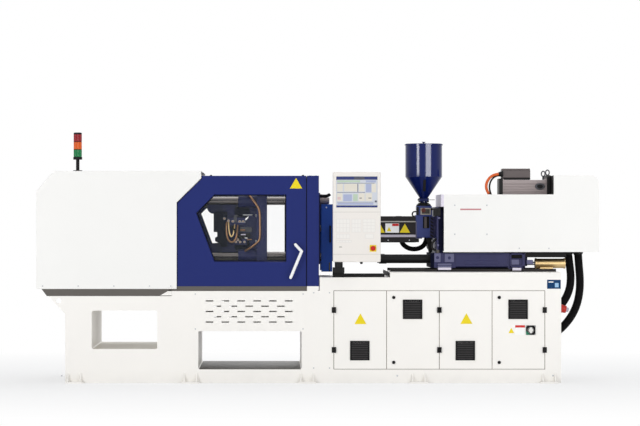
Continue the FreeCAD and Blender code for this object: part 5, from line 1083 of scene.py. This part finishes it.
# injection cover: service panels with screws, a plain red field, lower screws and the rear grille
hoodForm = {"panel": (1.075, 1.381, 1.165, 1.447), "field": (1.142, 1.312, 1.384, 1.396),
            "screws": ((1.0982, 1.4239), (1.3582, 1.4239), (1.0982, 1.189), (1.3582, 1.189))}
cover = Shape("injectionCoverTrim")
left, right, low, high = hoodForm["panel"]
cover.both("block", "coverWhite", (left, 0.33, low), (right, 0.3312, high), 0.0006)
for x, z in hoodForm["screws"]:
    cover.both("screw", "groundSteel", (x, 0.3312, z), (0, 1, 0), 0.0062)
left, right, low, high = hoodForm["field"]
cover.block("fadedRed", (left, -0.3317, low), (right, -0.3311, high), 0.0002)
for x in (1.62, 1.86):
    cover.both("screw", "groundSteel", (x, 0.33, 1.075), (0, 1, 0), 0.0055)
for step in range(9):
    z = 1.3 + 0.022 * step
    cover.block("seamGrey", (2.264, -0.15, z), (2.266, 0.15, z + 0.009), 0.0004)
cover.done("carriage", "cover_white")

# drive motor: cast body with fins, black flanges, junction box, eye bolts and plug
motor = {"left": 1.48, "right": 1.9, "half": 0.09, "axis": 1.554, "flange": 0.03, "lip": 0.0362,
         "pitch": 0.022, "depth": 0.008, "bevel": 0.012, "box": (1.505, 1.738, 0.06, 1.726),
         "eyes": ((1.85, 1.684), (1.885, 1.694)), "plate": (1.813, 1.579, 0.04, 0.027)}


def finnedOutline(half, inner, pitch, depth, count):  # cross-section of the body with grooves on three sides
    edge, run = [], []
    for number in range(-count, count + 1):
        middle = number * pitch
        run += [(middle - pitch / 4, half), (middle - pitch / 4 + 0.0012, half - depth),
                (middle + pitch / 4 - 0.0012, half - depth), (middle + pitch / 4, half)]
    for turns in range(3):
        for a, b in [(-inner, half)] + run + [(inner, half)]:
            for _ in range(turns):
                a, b = b, -a
            edge.append((a, b))
    return edge + [(inner, -half), (-inner, -half)]


drive = Shape("servoMotor")
left, right, axis, half = motor["left"], motor["right"], motor["axis"], motor["half"]
inner, flange, lip = half - motor["bevel"], motor["flange"], motor["lip"]
section = [(-b, axis - a) for a, b in finnedOutline(half, inner, motor["pitch"], motor["depth"], 2)]
drive.slab("motorGrey", section, left + 0.036, right - 0.036, "X", 0.0)
rounded = [(-inner, half), (inner, half), (half, inner), (half, -inner), (inner, -half), (-inner, -half),
           (-half, -inner), (-half, inner)]
for finish, low, high in (("satinBlack", left, left + flange), ("motorGrey", left + flange, left + lip),
                          ("motorGrey", right - lip, right - flange + 0.0002)):
    drive.slab(finish, [(y, axis + z) for y, z in rounded], low, high, "X", 0.0015)
bell = half + 0.027
drive.slab("satinBlack", [(-bell + 0.015, axis + bell), (bell - 0.015, axis + bell), (bell, axis + bell - 0.015),
                          (bell, axis - half), (-bell, axis - half), (-bell, axis + bell - 0.015)],
           right - flange, right, "X", 0.003, 3)
left, right, reach, top = motor["box"]
drive.block("mattBlack", (left, -reach, axis + half - 0.009), (right, reach, axis + half + 0.006), 0.001)
drive.block("junctionGrey", (left, -reach, axis + half + 0.006), (right, reach, top - 0.012), 0.005, 3)
drive.block("satinBlack", (left - 0.0008, -reach - 0.0004, axis + half + 0.01), (left + 0.014, reach, top - 0.014),
            0.004)
left, right, reach = left + 0.0015, right - 0.0015, reach - 0.0015
drive.block("junctionGrey", (left, -reach, top - 0.0118), (right, reach, top), 0.003)
for x in (left + 0.0125, right - 0.0125):
    for y in (-reach + 0.0115, reach - 0.0115):
        drive.screw("groundSteel", (x, y, top), (0, 0, 1), 0.0045, 0.0025)


def ellipse(x, z, wide, high, steps):
    return [(x + wide * math.cos(math.tau * step / steps), z + high * math.sin(math.tau * step / steps))
            for step in range(steps)]


for x, z in motor["eyes"]:
    ring = [Vector((a, 0, b)) for a, b in ellipse(x, z, 0.015, 0.021, 28)]
    drive.along("linkIron", ring + ring[:1], [0.005] * 29, 14)
    drive.rod("linkIron", (x, 0, axis + half - 0.009), (x, 0, z - 0.021), 0.008, 0.001)
x, z, wide, high = motor["plate"]
drive.slab("linkIron", ellipse(x, z, wide, high, 32), -0.099, -0.08, "Y", 0.004)
drive.slab("mattBlack", ellipse(x, z, wide * 0.62, high * 0.62, 32), -0.104, -0.098, "Y", 0.002)
drive.done("carriage", "motor_grey", "injection_motor")


# glands where the cables and hoses go in
def gland(shape, at, direction, radius, profile, sides):
    shape.lathe("satinBlack", at, direction, [(along, radius * share) for along, share in profile], sides)


nut = [(-0.004, 0), (-0.004, 1.6), (0.008, 1.6), (0.01, 1.35), (0.028, 1.12), (0.028, 0.8)]
sleeve = [(0, 0), (0, 1.35), (0.01, 1.35), (0.013, 1.18), (0.026, 1.04), (0.026, 0.9)]
socket = [(0, 0), (0, 0.045), (0.01, 0.045), (0.013, 0.0395), (0.03, 0.035), (0.03, 0.03)]
glands = Shape("cableGlands")
gland(glands, (1.505, -0.062, 1.685), (-1, 0, -0.06), 0.0125, nut, 24)
gland(glands, (1.505, -0.034, 1.672), (-1, 0, -0.05), 0.008, nut, 24)
for at, direction, radius in (
        ((1.41, -0.062, 1.498), (-0.4, 0, 1), 0.0125), ((1.42, -0.034, 1.5), (-0.28, 0, 1), 0.008),
        ((2.046, -0.06, 1.045), (0.12, 0, -1), 0.0335), ((2.128, -0.06, 1.045), (0.15, 0, -1), 0.0335)):
    gland(glands, at, direction, radius, sleeve, 32)
glands.done("carriage", "hose_rubber")
bedGlands = Shape("hoseGlands")
gland(bedGlands, (1.93, -0.06, 0.556), (1, 0, 0.74), 1, socket, 36)
gland(bedGlands, (1.93, -0.06, 0.368), (1, 0, 0.6), 1, socket, 36)
bedGlands.done("bed", "hose_rubber")
print("injection unit dressed")


def whiteRays(paint):  # what the view, metal and glass see as plain white
    rays = [paint.node("ShaderNodeLightPath", {}, {}, name)
            for name in ("Is Camera Ray", "Is Glossy Ray", "Is Transmission Ray")]
    return (rays[0] + rays[1] + rays[2]).clamped()


studio = {
    "shadowShare": 0.34, "near": 1.4, "far": 4.2, "skyTone": (0.93, 0.95, 1.0), "skyStrength": 0.45,
    "lamps": {  # place, aims at, width and height, watts
        "leftSoftbox": ((-6.1, -8.5, 2.1), (0.4, 0.0, 1.4), (3.6, 5.2), 358.0),
        "rightSoftbox": ((4.3, -7.2, 2.1), (0.6, 0.0, 1.4), (5.0, 4.0), 184.0),
        "topLamp": ((0.0, 1.0, 7.0), (0.0, 0.0, 1.0), (6.0, 6.0), 150.0),
        "backLamp": ((1.0, 7.5, 5.0), (0.0, 0.0, 1.0), (5.0, 5.0), 200.0)},
    "strips": {  # linked to the hopper alone, for the two upright highlights in its gloss
        "leftStrip": ((-6.15, -8.6, 2.1), (0.4, 0.0, 1.4), (2.6, 5.2), 950.0),
        "rightStrip": ((4.35, -7.3, 2.1), (0.6, 0.0, 1.4), (4.6, 4.0), 1150.0)},
}
floorPaint = Paint("floorPaint")
speck = floorPaint.noise(60.0, 3.0, 0.5)
lit = floorPaint.node("ShaderNodeBsdfDiffuse", {}, {"Color": floorPaint.tint(speck, (0.82,) * 3, (0.86,) * 3)})
glow = floorPaint.node("ShaderNodeEmission", {}, {"Color": (1, 1, 1, 1), "Strength": 1.0})
away = floorPaint.node("ShaderNodeVectorMath", {"operation": "LENGTH"},
                       {0: floorPaint.stretched((0.45, 1.0, 0.0))}, 1)
plain = ((away - studio["near"]) * (1 / (studio["far"] - studio["near"]))).clamped()
share = plain * studio["shadowShare"] + (1 - studio["shadowShare"])
shown = floorPaint.node("ShaderNodeMixShader", {}, {0: whiteRays(floorPaint) * share, 1: lit, 2: glow})
floorPaint.node("ShaderNodeOutputMaterial", {}, {"Surface": shown})
floorMesh = bpy.data.meshes.new("floor")
floorMesh.from_pydata([(-40, -40, 0), (40, -40, 0), (40, 40, 0), (-40, 40, 0)], [], [(0, 1, 2, 3)])
floorMesh.materials.append(floorPaint.material)
floor = addObject("floor", floorMesh)

world = bpy.data.worlds.new("studio")
bpy.context.scene.world = world
sky = Paint("sky", world)
soft = sky.node("ShaderNodeBackground", {}, {"Color": (*studio["skyTone"], 1), "Strength": studio["skyStrength"]})
white = sky.node("ShaderNodeBackground", {}, {"Color": (1, 1, 1, 1), "Strength": 1.0})
shown = sky.node("ShaderNodeMixShader", {}, {0: whiteRays(sky), 1: soft, 2: white})
sky.node("ShaderNodeOutputWorld", {}, {"Surface": shown})

glossy = bpy.data.collections.new("glossyPaint")
for piece in (nodes["hopper"], nodes["hopper_lid"], hopperTrim):
    glossy.objects.link(piece)
for name, (place, aim, (wide, tall), watts) in {**studio["lamps"], **studio["strips"]}.items():
    lamp = bpy.data.lights.new(name, "AREA")
    lamp.shape, lamp.size, lamp.size_y, lamp.energy = "RECTANGLE", wide, tall, watts
    lampObject = addObject(name, lamp)
    lampObject.location = place
    lampObject.rotation_euler = (Vector(aim) - Vector(place)).to_track_quat("-Z", "Y").to_euler()
    lampObject.visible_camera = False
    if name in studio["strips"]:
        lampObject.visible_diffuse = False
        lampObject.light_linking.receiver_collection = glossy

bpy.context.scene.view_settings.view_transform = "Standard"
